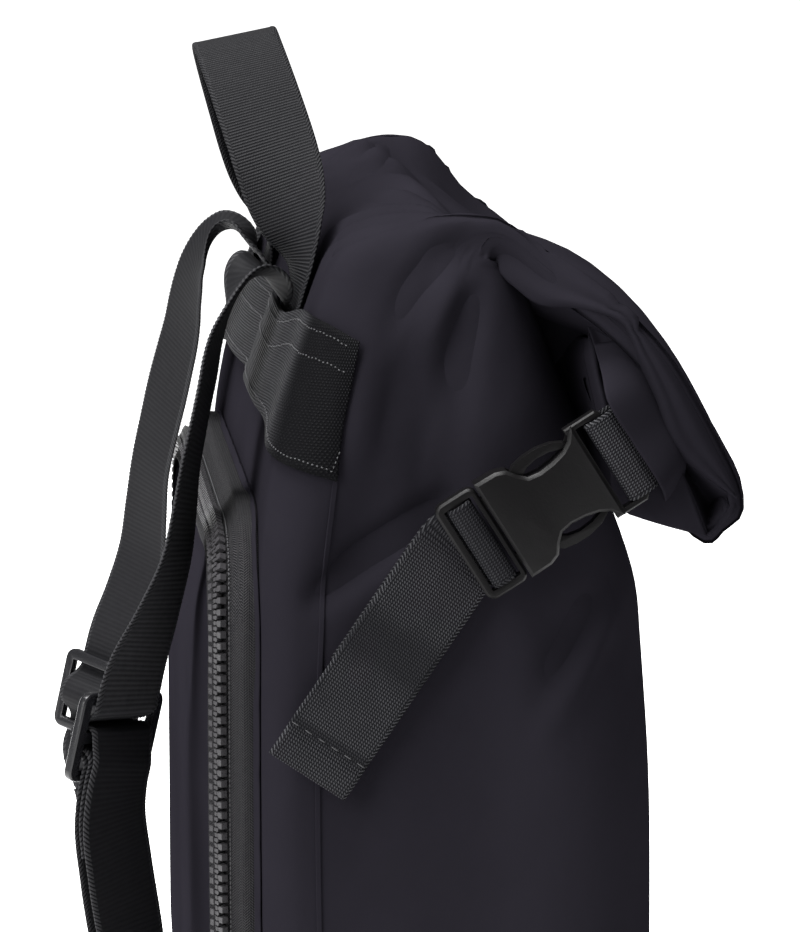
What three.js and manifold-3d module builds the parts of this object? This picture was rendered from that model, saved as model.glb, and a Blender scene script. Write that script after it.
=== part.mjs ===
// Roll-top backpack with a padded, zipped back door, webbing straps and side-release buckles.
// Millimetres, +Z up. X runs across the wearer's back, -Y is the bag's front, +Y the wearer's side.
// The origin is the middle of the flat base. Left is the wearer's left, at -X.
import * as THREE from 'three';
import { mergeVertices } from 'three/addons/utils/BufferGeometryUtils.js';
import Module from 'manifold-3d';

const wasm = await Module();
wasm.setup();

// Cloth, webbing and clearances
const WALL = 2;
const GAP = 0.4;
const WEB = 30;
const WEB_T = 1.4;
const PLY = WEB_T + GAP;

// Bag shell: each row is one section of the fabric tube, from the base to the mouth. A section runs from its
// front point (fy, fz) to its back point (by, bz), is 2 * half wide and has rounded corners br and fr.
// Past the ridge the back layer is the outside of the hood. bow pushes the middle of the roll forward.
// steps is the number of rings up to the next row.
const SHELL_ROWS = [
  { by: 56, bz: 0, fy: -60, fz: 0, half: 130, br: 20, fr: 30, bow: 0, steps: 1 },
  { by: 60, bz: 8, fy: -70, fz: 8, half: 139, br: 16, fr: 36, bow: 0, steps: 1 },
  { by: 60, bz: 60, fy: -74, fz: 60, half: 142, br: 15, fr: 40, bow: 0, steps: 2 },
  { by: 60, bz: 170, fy: -75, fz: 165, half: 144, br: 15, fr: 42, bow: 0, steps: 2 },
  { by: 60, bz: 250, fy: -72.5, fz: 244, half: 144, br: 15, fr: 42, bow: 0, steps: 2 },
  { by: 59, bz: 302, fy: -68.5, fz: 286, half: 143, br: 17, fr: 42, bow: 0, steps: 1 },
  { by: 54, bz: 335, fy: -58, fz: 314, half: 142, br: 22, fr: 40, bow: 1, steps: 1 },
  { by: 45.5, bz: 362, fy: -46, fz: 342, half: 141, br: 25, fr: 34, bow: 2, steps: 1 },
  { by: 38, bz: 386, fy: -36, fz: 364, half: 139, br: 25, fr: 26, bow: 4, steps: 1 },
  { by: 29.5, bz: 399, fy: -28, fz: 382, half: 137, br: 22, fr: 18, bow: 5, steps: 1 },
  { by: 10, bz: 407, fy: -21, fz: 393, half: 135, br: 15, fr: 10, bow: 4, steps: 1 },
  { by: -11, bz: 412, fy: -20, fz: 399, half: 134, br: 7, fr: 6, bow: 3, steps: 1 },
  { by: -28, bz: 406.5, fy: -26.5, fz: 395.5, half: 138, br: 5, fr: 5, bow: 4, steps: 1 },
  { by: -52, bz: 386, fy: -44, fz: 379, half: 145, br: 4.8, fr: 4.8, bow: 9, steps: 1 },
  { by: -73, bz: 365, fy: -64, fz: 359, half: 149, br: 5, fr: 5, bow: 13, steps: 1 },
  { by: -88, bz: 339, fy: -78, fz: 335, half: 149, br: 5, fr: 5, bow: 15, steps: 1 },
  { by: -98, bz: 317, fy: -87, fz: 319, half: 147, br: 5, fr: 5, bow: 15, steps: 1 },
  { by: -95, bz: 303, fy: -88, fz: 313, half: 145, br: 5.4, fr: 5.4, bow: 15, steps: 1 },
  { by: -82, bz: 301, fy: -83.5, fz: 311, half: 144, br: 4.8, fr: 4.8, bow: 14, steps: 1 },
  { by: -67, bz: 312, fy: -75, fz: 318, half: 145, br: 4.6, fr: 4.6, bow: 12, steps: 1 },
  { by: -54, bz: 338, fy: -62.5, fz: 343, half: 145, br: 4.6, fr: 4.6, bow: 11, steps: 1 },
  { by: -48, bz: 352, fy: -56, fz: 357, half: 143, br: 4.2, fr: 4.2, bow: 10, steps: 0 },
];
// Rows 1 to SKIN_TOP carry the door, the band and the straps
const SKIN_TOP = 10;
// Intervals round half a section: back, back corner, side, front corner, front
const RING_STEPS = { back: 4, backCorner: 4, side: 6, frontCorner: 4, front: 4 };

// Folds and dents of the side panels: a soft groove from (y0, z0) to (y1, z1), pressed in by depth
const SIDE_FOLDS = [
  { y0: 26, z0: 378, y1: 3, z1: 342, depth: 4.5, width: 13 },
  { y0: 40, z0: 288, y1: 4, z1: 318, depth: 5, width: 9 },
  { y0: -43, z0: 268, y1: -58, z1: 292, depth: 3.5, width: 8 },
  { y0: 20, z0: 392, y1: -12, z1: 404, depth: 4, width: 9 },
];

// Back door: rounded outline on the unrolled back, half wide, from bottom to top, and its padded profile:
// in is the distance from the outline, up is the height over the shell
const DOOR = { half: 133, bottom: 52, top: 309, corner: 38, lowCorner: 30, lift: 0.9 };
const DOOR_PROFILE = [
  { in: 0, up: 0.5 },
  { in: 2, up: 2.2 },
  { in: 6, up: 5.6 },
  { in: 17, up: 13 },
  { in: 25, up: 15.4 },
  { in: 44, up: 16.2 },
];
const DOOR_STEPS = { side: 8, corner: 5, top: 5, lowCorner: 3 };
// Zip: the tape lies on the door's sloped edge, the chain on the middle of the tape
const ZIP = { tape: [2, 6, 11.5, 17], tapeT: 1.2, chain: [6.4, 15], chainT: 2.6, rise: 0.7, endUp: 73 };

// Anchor band on the back and both sides: rows along the half band, s from the middle of the back,
// heights of its lower and upper edge, lift over the shell; shear slants its ends
const BAND = { t: 1.6, shear: -7, steps: 3, across: 3 };
const BAND_ROWS = [
  { s: 0, low: 339, high: 368, lift: 1.8 },
  { s: 32, low: 339, high: 368, lift: 5.4 },
  { s: 80, low: 339, high: 369, lift: 5.4 },
  { s: 104, low: 337, high: 374.5, lift: 1.8 },
  { s: 126, low: 331, high: 374.5, lift: 1.6 },
  { s: 151, low: 324.5, high: 369, lift: 1.6 },
];

// Carry handle: rows of the left half, from its sewn end to the crest; turn is the angle of its width from X
const HANDLE_LIFT = 1.5;
const SEWN_HEIGHTS = [341, 357, 369];
const SEWN_TURN = 1;
const HANDLE_X = 62;
const HANDLE_ROWS = [
  { x: -61.5, y: 40.6, z: 386, turn: 12 },
  { x: -59, y: 42.8, z: 399, turn: 44 },
  { x: -54, y: 45.6, z: 412, turn: 68 },
  { x: -46, y: 49.2, z: 426, turn: 84 },
  { x: -32, y: 54.2, z: 443, turn: 90 },
  { x: -15, y: 57.6, z: 454.5, turn: 90 },
  { x: 0, y: 58.4, z: 458, turn: 90 },
];
const HANDLE_TILT = 0.2;
const HANDLE_STEPS = 2;

// Shoulder straps: rows of each strap's centre line, both given on the left, down to the slider;
// twist is the turn of the width. The right strap hangs closer to the bag.
const STRAP_LIFT = 3.6;
const STRAP_X = 51;
const STRAP_ROWS = {
  left: [
    { x: -54, y: 50, z: 378, twist: 2 },
    { x: -60, y: 54, z: 381.8, twist: 4 },
    { x: -65, y: 59, z: 380.3, twist: 6 },
    { x: -71, y: 64.5, z: 373, twist: 9 },
    { x: -77, y: 70.5, z: 360.5, twist: 14 },
    { x: -83, y: 74.5, z: 345, twist: 14 },
    { x: -89.3, y: 80, z: 321, twist: 16 },
    { x: -94, y: 86.5, z: 292, twist: 24 },
  ],
  right: [
    { x: -54, y: 50, z: 378, twist: 2 },
    { x: -59, y: 54.5, z: 382.8, twist: 5 },
    { x: -64, y: 61.5, z: 381, twist: 8 },
    { x: -71, y: 68, z: 371, twist: 12 },
    { x: -76, y: 71.5, z: 358, twist: 17 },
    { x: -81, y: 74, z: 341, twist: 22 },
    { x: -87, y: 79.2, z: 318, twist: 26 },
    { x: -92, y: 85.6, z: 288, twist: 25 },
    { x: -94, y: 90.5, z: 254, twist: 33 },
  ],
};
// Below the slider: the two strands down to the ring
const STRAND_ROWS = [
  { x: -92, y: 107, z: 160, twist: 48 },
  { x: -101, y: 99.5, z: 118, twist: 34 },
  { x: -111, y: 87, z: 78, twist: 10 },
];
// Slider: width and height of the frame, bar and side widths, thickness, and its place on each strap
const SLIDER = { wide: 40, tall: 31, bar: 4, side: 4, t: 3.2, corner: 4, bevel: 0.5, twist: 46, lean: 0.22 };
const SLIDER_AT = {
  left: { x: -93, y: 107, z: 229 },
  right: { x: -93, y: 106, z: 197 },
};
// How the webbing passes the slider: along is down the strap from the centre bar, out is away from the bag
const SLIDER_RUN = [
  { along: -26, out: -3.4 },
  { along: -14, out: -3.4 },
  { along: -10.5, out: -3.2 },
  { along: -7, out: 0 },
  { along: -4.5, out: 4.2 },
  { along: 0, out: 6.2 },
  { along: 4.5, out: 4.2 },
  { along: 7, out: 0 },
  { along: 10.5, out: -3.2 },
  { along: 14, out: -3.4 },
  { along: 26, out: -3.6 },
];
const SLIDER_LOOP = [
  { along: 26, out: -7.6 },
  { along: 14, out: -7.4 },
  { along: 8, out: -6.8 },
  { along: 3.2, out: -5 },
  { along: 0, out: -4 },
  { along: -2.9, out: -2.9 },
  { along: -3.9, out: 0 },
  { along: -2.9, out: 2.9 },
  { along: 0, out: 4 },
  { along: 2.8, out: 2.8 },
  { along: 5.2, out: -0.6 },
  { along: 8.2, out: -4.6 },
  { along: 14, out: -5.5 },
  { along: 26, out: -5.6 },
  { along: 34, out: -5.6 },
];
// Ring that holds the lower end of each strap, its tilt outwards, and the webbing tab that holds the ring
const RING = {
  x: -112, y: 73, z: 48, wide: 38, tall: 14.5, wire: 3, corner: 3, bevel: 0.5, hold: 3.4, tilt: 38,
};
const TAB = { foot: 12, head: 26, lift: 1.3, wrapFrom: 200, wrapTo: -20, wrapStep: 44 };

// Side-release buckle: u runs from the male end to the female end, v across, in the plane of the bag's side
const BUCKLE = { x: -152.5, y: -4.2, z: 301, rise: 32, seam: 15.3 };
const MALE = {
  half: 18.2, t: 5.5, corner: 3.2, bevel: 0.8, slotHalf: 15.4, slots: [[2.6, 5.7], [9.5, 13.3]], prongT: 4,
};
const FEMALE = { t: 9, bevel: 1.1, endT: 5, endBevel: 0.6, slotHalf: 15.4, slot: [53, 58.8], cavityT: 4.8 };
// Half outlines of the female body, its webbing end, one prong of the male half and its clearance
const FEMALE_BODY = [[15.7, 18.2], [23.5, 18], [27, 16.6], [29.2, 13.4], [32, 10.8], [36, 10.2], [41, 10.7],
  [45.5, 11.8], [48.6, 13.6], [50.6, 16.2], [52.4, 17.2]];
const FEMALE_END = [[49.5, 17.3], [61.2, 17.3], [62.8, 15.6]];
const PRONG = [[13.6, 12.6], [26, 13.4], [29.6, 16.2], [34, 17], [39, 17], [44, 15.9], [47.6, 13.9],
  [48, 12.6], [46, 12.4], [42, 13.7], [37, 14.1], [33, 13.3], [30, 11.2], [26, 9.6], [13.6, 9]];
const CAVITY = [[13, 13.2], [25.7, 14.1], [28.9, 18.8], [48.8, 18.8], [48.8, 11.9], [46, 11.8], [42, 13.1],
  [37, 13.5], [33.2, 12.7], [30.3, 10.6], [26.1, 9], [13, 8.4]];

// Side strap: the tail falls from the male end at this angle and is this long to its hem. The ply below it is
// sewn to the side from sewn on and has settled on the skin at settle; the tail's end stands out by rise.
const TAIL = { fall: 55.6, length: 89, hem: 10, sewn: 52, settle: 22, skinOut: -6.9, turn: 16, rise: 1.2 };
const TAIL_STOPS = [5, 12, 22, 36, 50, 64];
// Webbing at the male half, u along the buckle and out from its middle plane
const MALE_WEB = [
  { u: 1.2, out: -6.3 },
  { u: 6, out: -5.5 },
  { u: 9.4, out: -4.3 },
  { u: 11.2, out: -2.6 },
  { u: 11.6, out: 0 },
  { u: 10.9, out: 3 },
  { u: 9.3, out: 4.2 },
  { u: 7.6, out: 4.3 },
  { u: 5.9, out: 4.2 },
  { u: 4.4, out: 2.9 },
  { u: 4.1, out: 0 },
  { u: 4.1, out: -2.4 },
  { u: 3.2, out: -4 },
  { u: 1.2, out: -4.5 },
];
// Webbing at the female half, into the valley of the roll
const ROLL_WEB = [
  { u: 74.2, out: -13 },
  { u: 74, out: -8 },
  { u: 71.5, out: -5.4 },
  { u: 66, out: -4.4 },
  { u: 60.8, out: -3.8 },
  { u: 58.4, out: -3.7 },
  { u: 57, out: -2.6 },
  { u: 56.6, out: 0 },
  { u: 57, out: 2.6 },
  { u: 58.4, out: 3.7 },
  { u: 61.4, out: 3.9 },
  { u: 63.8, out: 3.6 },
  { u: 66.5, out: 2.2 },
  { u: 71.5, out: -0.8 },
  { u: 75.8, out: -5.4 },
  { u: 76.6, out: -9 },
  { u: 76.6, out: -13 },
];

const COLOURS = { fabric: 0x232226, webbing: 0x1c1c1e, plastic: 0x141416, zip: 0x18181a, band: 0x1a1a1c };

const vec = (x, y, z) => new THREE.Vector3(x, y, z);
const rad = (degrees) => THREE.MathUtils.degToRad(degrees);
const mix = THREE.MathUtils.lerp;

// One value of a smooth curve through four neighbouring rows
function smoothBetween(a, b, c, d, t) {
  const rise0 = (c - a) / 2;
  const rise1 = (d - b) / 2;
  const t2 = t * t;
  const t3 = t2 * t;
  return (2 * t3 - 3 * t2 + 1) * b + (t3 - 2 * t2 + t) * rise0 + (3 * t2 - 2 * t3) * c + (t3 - t2) * rise1;
}

// A row at the place k of a table, with each column smoothly between its neighbours
function smoothRow(rows, k) {
  const i = Math.min(Math.floor(k), rows.length - 2);
  const near = [i - 1, i, i + 1, i + 2].map((n) => rows[THREE.MathUtils.clamp(n, 0, rows.length - 1)]);
  const row = {};
  for (const name of Object.keys(rows[0])) {
    row[name] = smoothBetween(near[0][name], near[1][name], near[2][name], near[3][name], k - i);
  }
  return row;
}

// The value of one column where another column has the given value
function tableAt(rows, column, value, wanted) {
  let i = 1;
  while (i < rows.length - 1 && rows[i][column] < value) i += 1;
  const t = (value - rows[i - 1][column]) / (rows[i][column] - rows[i - 1][column]);
  return mix(rows[i - 1][wanted], rows[i][wanted], THREE.MathUtils.clamp(t, 0, 1));
}

// Closed geometry from points and quads; each quad is split along its shorter diagonal
function solidFrom(points, quads, triangles = []) {
  const index = [...triangles.flat()];
  for (const [a, b, c, d] of quads) {
    const split = points[a].distanceTo(points[c]) <= points[b].distanceTo(points[d]);
    index.push(...(split ? [a, b, c, a, c, d] : [a, b, d, b, c, d]));
  }
  const geometry = new THREE.BufferGeometry();
  geometry.setAttribute('position', new THREE.Float32BufferAttribute(points.flatMap((p) => p.toArray()), 3));
  geometry.setIndex(index);
  return geometry;
}

// Slab between an upper and a lower grid of the same size
function slab(upper, lower) {
  const rows = upper.length;
  const columns = upper[0].length;
  const points = [...upper.flat(), ...lower.flat()];
  const up = (i, j) => i * columns + j;
  const low = (i, j) => rows * columns + i * columns + j;
  const quads = [];
  for (let i = 0; i < rows - 1; i += 1) {
    for (let j = 0; j < columns - 1; j += 1) {
      quads.push([up(i, j), up(i + 1, j), up(i + 1, j + 1), up(i, j + 1)]);
      quads.push([low(i, j), low(i, j + 1), low(i + 1, j + 1), low(i + 1, j)]);
    }
    quads.push([low(i, 0), low(i + 1, 0), up(i + 1, 0), up(i, 0)]);
    const last = columns - 1;
    quads.push([up(i, last), up(i + 1, last), low(i + 1, last), low(i, last)]);
  }
  for (let j = 0; j < columns - 1; j += 1) {
    quads.push([up(0, j), up(0, j + 1), low(0, j + 1), low(0, j)]);
    const last = rows - 1;
    quads.push([low(last, j), low(last, j + 1), up(last, j + 1), up(last, j)]);
  }
  return outward(solidFrom(points, quads));
}

// Signed volume, and the same geometry with its faces pointing out
function volumeOf(geometry) {
  const p = geometry.getAttribute('position');
  const index = geometry.getIndex().array;
  const [a, b, c] = [vec(0, 0, 0), vec(0, 0, 0), vec(0, 0, 0)];
  let sum = 0;
  for (let i = 0; i < index.length; i += 3) {
    a.fromBufferAttribute(p, index[i]);
    b.fromBufferAttribute(p, index[i + 1]);
    c.fromBufferAttribute(p, index[i + 2]);
    sum += a.dot(b.cross(c)) / 6;
  }
  return sum;
}

function turned(geometry) {
  const index = geometry.getIndex().array;
  for (let i = 0; i < index.length; i += 3) {
    const kept = index[i + 1];
    index[i + 1] = index[i + 2];
    index[i + 2] = kept;
  }
  return geometry;
}

function outward(geometry) {
  return volumeOf(geometry) < 0 ? turned(geometry) : geometry;
}

// The same piece on the other side of the bag
function mirrored(geometry) {
  return turned(geometry.clone().scale(-1, 1, 1));
}

// Bag shell

// Half of a section, from the middle of the back round the left side to the middle of the front:
// across is X, deep is measured from the section's middle towards its back
function halfSection(half, depth, br, fr) {
  const points = [];
  const corner = (cx, cd, r, from, steps) => {
    for (let k = 1; k <= steps; k += 1) {
      const a = rad(from + (90 * k) / steps);
      points.push({ across: cx + r * Math.cos(a), deep: cd + r * Math.sin(a) });
    }
  };
  const line = (from, to, steps, first) => {
    for (let k = first; k <= steps; k += 1) {
      const t = k / steps;
      points.push({ across: mix(from[0], to[0], t), deep: mix(from[1], to[1], t) });
    }
  };
  const deep = depth / 2;
  line([0, deep], [br - half, deep], RING_STEPS.back, 0);
  corner(br - half, deep - br, br, 90, RING_STEPS.backCorner);
  line([-half, deep - br], [-half, fr - deep], RING_STEPS.side, 1);
  corner(fr - half, fr - deep, fr, 180, RING_STEPS.frontCorner);
  line([fr - half, -deep], [0, -deep], RING_STEPS.front, 1);
  return points;
}

// How far the side folds press a point of the side panel in
function foldDepth(y, z) {
  let depth = 0;
  for (const fold of SIDE_FOLDS) {
    const along = new THREE.Line3(vec(0, fold.y0, fold.z0), vec(0, fold.y1, fold.z1));
    const nearest = along.closestPointToPoint(vec(0, y, z), true, vec(0, 0, 0));
    depth += fold.depth * Math.exp(-((nearest.distanceTo(vec(0, y, z)) / fold.width) ** 2));
  }
  return depth;
}

// Full ring of a section row, drawn in by inset on all sides
function shellRing(row, inset, folded) {
  const back = vec(0, row.by, row.bz);
  const front = vec(0, row.fy, row.fz);
  const depth = back.distanceTo(front);
  const half = row.half - inset;
  const middle = back.clone().add(front).multiplyScalar(0.5);
  const along = back.clone().sub(front).divideScalar(depth);
  const limit = 0.47 * (depth - 2 * inset);
  const br = Math.min(Math.max(row.br - inset, 1), limit);
  const fr = Math.min(Math.max(row.fr - inset, 1), limit);
  const left = halfSection(half, depth - 2 * inset, br, fr).map(({ across, deep }) => {
    const point = middle.clone().addScaledVector(along, deep);
    const side = (across / half) ** 2;
    point.y -= row.bow * (1 - side);
    const press = folded ? foldDepth(point.y, point.z) * THREE.MathUtils.smoothstep(side, 0.55, 1) : 0;
    point.x = across + press;
    return point;
  });
  const right = left.slice(1, -1).reverse().map((p) => vec(-p.x, p.y, p.z));
  return [...left, ...right];
}

function shellRings(inset) {
  const rings = [];
  SHELL_ROWS.forEach((row, i) => {
    const count = Math.max(row.steps, 1);
    for (let k = 0; k < count; k += 1) {
      const place = smoothRow(SHELL_ROWS, i + k / count);
      if (i === 0) {
        place.bz += inset;
        place.fz += inset;
      }
      rings.push(shellRing(place, inset, i + k / count < SKIN_TOP + 0.5));
    }
  });
  return rings;
}

const outerRings = shellRings(0);

// Outside from the base to the mouth, and the lining side back down to the base
function bagShell() {
  const innerRings = shellRings(WALL);
  const rings = [...outerRings, ...innerRings.reverse()];
  const count = rings[0].length;
  const points = rings.flat();
  const quads = [];
  for (let i = 0; i < rings.length - 1; i += 1) {
    for (let j = 0; j < count; j += 1) {
      const next = (j + 1) % count;
      quads.push([i * count + j, i * count + next, (i + 1) * count + next, (i + 1) * count + j]);
    }
  }
  const triangles = [];
  const cap = (ring, reversed) => {
    const centre = points.length;
    const middle = ring[0].clone().add(ring[count / 2]).multiplyScalar(0.5);
    points.push(middle);
    const first = rings.indexOf(ring) * count;
    for (let j = 0; j < count; j += 1) {
      const pair = [first + j, first + ((j + 1) % count)];
      triangles.push(reversed ? [centre, pair[1], pair[0]] : [centre, pair[0], pair[1]]);
    }
  };
  cap(rings[0], true);
  cap(rings[rings.length - 1], false);
  return outward(solidFrom(points, quads, triangles));
}

// The skin: places on the outside of the shell, s round from the middle of the back, at the height z
function skinRing(z) {
  const count = outerRings[0].length;
  const ring = [];
  for (let j = 0; j < count; j += 1) {
    let i = 1;
    while (outerRings[i + 1][j].z < z) i += 1;
    const low = outerRings[i][j];
    const high = outerRings[i + 1][j];
    ring.push(low.clone().lerp(high, THREE.MathUtils.clamp((z - low.z) / (high.z - low.z), 0, 1)));
  }
  return ring;
}

function skinPoint(s, z) {
  const ring = skinRing(z);
  let left = Math.abs(s);
  let j = 0;
  let length = ring[0].distanceTo(ring[1]);
  while (left > length) {
    left -= length;
    j += 1;
    length = ring[j].distanceTo(ring[j + 1]);
  }
  const point = ring[j].clone().lerp(ring[j + 1], left / length);
  point.x *= s > 0 ? -1 : 1;
  return point;
}

const SKIN_REACH = 4;
function skinAt(s, z, lift) {
  const across = skinPoint(s + SKIN_REACH, z).sub(skinPoint(s - SKIN_REACH, z));
  const up = skinPoint(s, z + SKIN_REACH).sub(skinPoint(s, z - SKIN_REACH));
  const normal = up.cross(across).normalize();
  return skinPoint(s, z).addScaledVector(normal, lift);
}

// Back door and zip

// Points of the door's outline, drawn in by inset: up the left side, over the top and down the right,
// and back along the bottom where the outline is closed
function doorOutline(inset, closed) {
  const half = DOOR.half - inset;
  const top = DOOR.top - inset;
  const bottom = closed ? DOOR.bottom + inset : ZIP.endUp;
  const r = Math.max(DOOR.corner - inset, 8);
  const low = Math.max(DOOR.lowCorner - inset, 6);
  const left = [];
  const start = closed ? bottom + low : bottom;
  for (let k = 0; k <= DOOR_STEPS.side; k += 1) left.push([-half, mix(start, top - r, k / DOOR_STEPS.side)]);
  for (let k = 1; k <= DOOR_STEPS.corner; k += 1) {
    const a = rad(180 - (90 * k) / DOOR_STEPS.corner);
    left.push([r - half + r * Math.cos(a), top - r + r * Math.sin(a)]);
  }
  const across = half - r;
  const middle = [];
  for (let k = 1; k < DOOR_STEPS.top; k += 1) middle.push([mix(-across, across, k / DOOR_STEPS.top), top]);
  const right = left.map(([s, z]) => [-s, z]).reverse();
  const outline = [...left, ...middle, ...right];
  if (closed) {
    const foot = half - low;
    const corner = [];
    for (let k = 1; k <= DOOR_STEPS.lowCorner; k += 1) {
      const a = rad(-(90 * k) / DOOR_STEPS.lowCorner);
      corner.push([foot + low * Math.cos(a), bottom + low + low * Math.sin(a)]);
    }
    outline.push(...corner);
    for (let k = 1; k < DOOR_STEPS.top; k += 1) {
      outline.push([mix(foot, -foot, k / DOOR_STEPS.top), bottom]);
    }
    outline.push(...corner.map(([s, z]) => [-s, z]).reverse());
  }
  return outline;
}

const doorUp = (inset) => tableAt(DOOR_PROFILE, 'in', inset, 'up');

function backDoor() {
  const ring = (inset, up) => doorOutline(inset, true).map(([s, z]) => skinAt(s, z, up + DOOR.lift));
  const lowRings = DOOR_PROFILE.map((row) => ring(row.in, 0)).reverse();
  const topRings = DOOR_PROFILE.map((row) => ring(row.in, row.up));
  const rings = [...lowRings, ...topRings];
  const count = rings[0].length;
  const points = rings.flat();
  const quads = [];
  for (let i = 0; i < rings.length - 1; i += 1) {
    for (let j = 0; j < count; j += 1) {
      const next = (j + 1) % count;
      quads.push([i * count + j, i * count + next, (i + 1) * count + next, (i + 1) * count + j]);
    }
  }
  const triangles = [];
  const middle = (DOOR.bottom + DOOR.top) / 2;
  const full = DOOR_PROFILE[DOOR_PROFILE.length - 1].up;
  [[0, 0, true], [rings.length - 1, full, false]].forEach(([row, up, reversed]) => {
    const centre = points.length;
    points.push(skinAt(0, middle, up + DOOR.lift));
    for (let j = 0; j < count; j += 1) {
      const pair = [row * count + j, row * count + ((j + 1) % count)];
      triangles.push(reversed ? [centre, pair[1], pair[0]] : [centre, pair[0], pair[1]]);
    }
  });
  return outward(solidFrom(points, quads, triangles));
}

// Strip along the zip's inverted U, through the given distances from the door's outline
function zipStrip(insets, lift, thickness) {
  const lines = insets.map((inset) => ({ inset, outline: doorOutline(inset, false) }));
  const grid = (up) => lines[0].outline.map((_, i) =>
    lines.map(({ inset, outline }) => skinAt(...outline[i], doorUp(inset) + DOOR.lift + up)));
  return slab(grid(lift + thickness), grid(lift));
}

function zipTape() {
  return zipStrip(ZIP.tape, GAP, ZIP.tapeT);
}

function zipChain() {
  return zipStrip(ZIP.chain, GAP + ZIP.tapeT + ZIP.rise, ZIP.chainT);
}

// Anchor band
function anchorBand() {
  const rows = [];
  const last = BAND_ROWS.length - 1;
  for (let k = -last * BAND.steps; k <= last * BAND.steps; k += 1) {
    const place = Math.abs(k) / BAND.steps;
    const slant = THREE.MathUtils.smoothstep(place, last - 1, last) * BAND.shear;
    rows.push({ ...smoothRow(BAND_ROWS, place), side: Math.sign(k), slant });
  }
  const grid = (extra) => rows.map(({ s, low, high, lift, side, slant }) => {
    const column = [];
    for (let n = 0; n <= BAND.across; n += 1) {
      const v = n / BAND.across;
      column.push(skinAt(side * (s + slant * (v - 0.5)), mix(low, high, v), lift + extra));
    }
    return column;
  });
  return slab(grid(BAND.t), grid(0));
}

// Webbing

// Flat ribbon through stations, each with a centre p and the direction w of its width
function ribbon(stations, width = WEB, thickness = WEB_T) {
  const upper = [];
  const lower = [];
  stations.forEach(({ p, w, thick = thickness }, i) => {
    const before = stations[Math.max(i - 1, 0)].p;
    const after = stations[Math.min(i + 1, stations.length - 1)].p;
    const tangent = after.clone().sub(before).normalize();
    const normal = w.clone().cross(tangent).normalize();
    const edges = [-0.5, 0.5].map((side) => p.clone().addScaledVector(w, side * width));
    upper.push(edges.map((e) => e.clone().addScaledVector(normal, thick / 2)));
    lower.push(edges.map((e) => e.clone().addScaledVector(normal, -thick / 2)));
  });
  return slab(upper, lower);
}

function carryHandle() {
  const sewn = SEWN_HEIGHTS.map((z) => ({ p: skinAt(-HANDLE_X, z, HANDLE_LIFT), turn: -SEWN_TURN }));
  const free = HANDLE_ROWS.map(({ x, y, z, turn }) => ({ p: vec(x, y, z), turn }));
  const left = [...sewn, ...free].map(({ p, turn }) => ({ x: p.x, y: p.y, z: p.z, turn }));
  const right = left.slice(0, -1).reverse().map((row) => ({ ...row, x: -row.x, turn: 180 - row.turn }));
  const rows = [...left, ...right];
  const stations = [];
  for (let k = 0; k <= (rows.length - 1) * HANDLE_STEPS; k += 1) {
    const { x, y, z, turn } = smoothRow(rows, k / HANDLE_STEPS);
    const a = rad(turn);
    const tilt = HANDLE_TILT * Math.sin(a) ** 2;
    stations.push({ p: vec(x, y, z), w: vec(-Math.cos(a), -Math.sin(a), tilt).normalize() });
  }
  return ribbon(stations);
}

// Rows of one strap's centre line, and the row at which its slider sits
function strapLine(side) {
  const at = SLIDER_AT[side];
  const down = vec(0, SLIDER.lean, -1).normalize();
  const reach = SLIDER_RUN[SLIDER_RUN.length - 1].along;
  const sewn = SEWN_HEIGHTS.map((z) => ({ p: skinAt(-STRAP_X, z, STRAP_LIFT), twist: SEWN_TURN }));
  const rows = sewn.map(({ p, twist }) => ({ x: p.x, y: p.y, z: p.z, twist }));
  rows.push(...STRAP_ROWS[side]);
  const sliderRow = rows.length + 1;
  for (const along of [-reach, 0, reach]) {
    const p = vec(at.x, at.y, at.z).addScaledVector(down, along);
    rows.push({ x: p.x, y: p.y, z: p.z, twist: SLIDER.twist });
  }
  rows.push(...STRAND_ROWS.filter((row) => row.z < at.z - reach - 8));
  rows.push({ x: RING.x, y: RING.y, z: RING.z, twist: 0 });
  return { rows, sliderRow, reach };
}

// Place on a strap line: centre, direction of the width, way down the strap and way out from the bag
function strapFrame(rows, k) {
  const row = smoothRow(rows, k);
  const p = vec(row.x, row.y, row.z);
  const before = smoothRow(rows, Math.max(k - 0.05, 0));
  const after = smoothRow(rows, Math.min(k + 0.05, rows.length - 1));
  const down = vec(after.x - before.x, after.y - before.y, after.z - before.z).normalize();
  const w = vec(Math.cos(rad(row.twist)), -Math.sin(rad(row.twist)), 0);
  w.addScaledVector(down, -w.dot(down)).normalize();
  const out = w.clone().cross(down).normalize();
  return { p, w, down, out };
}

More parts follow.
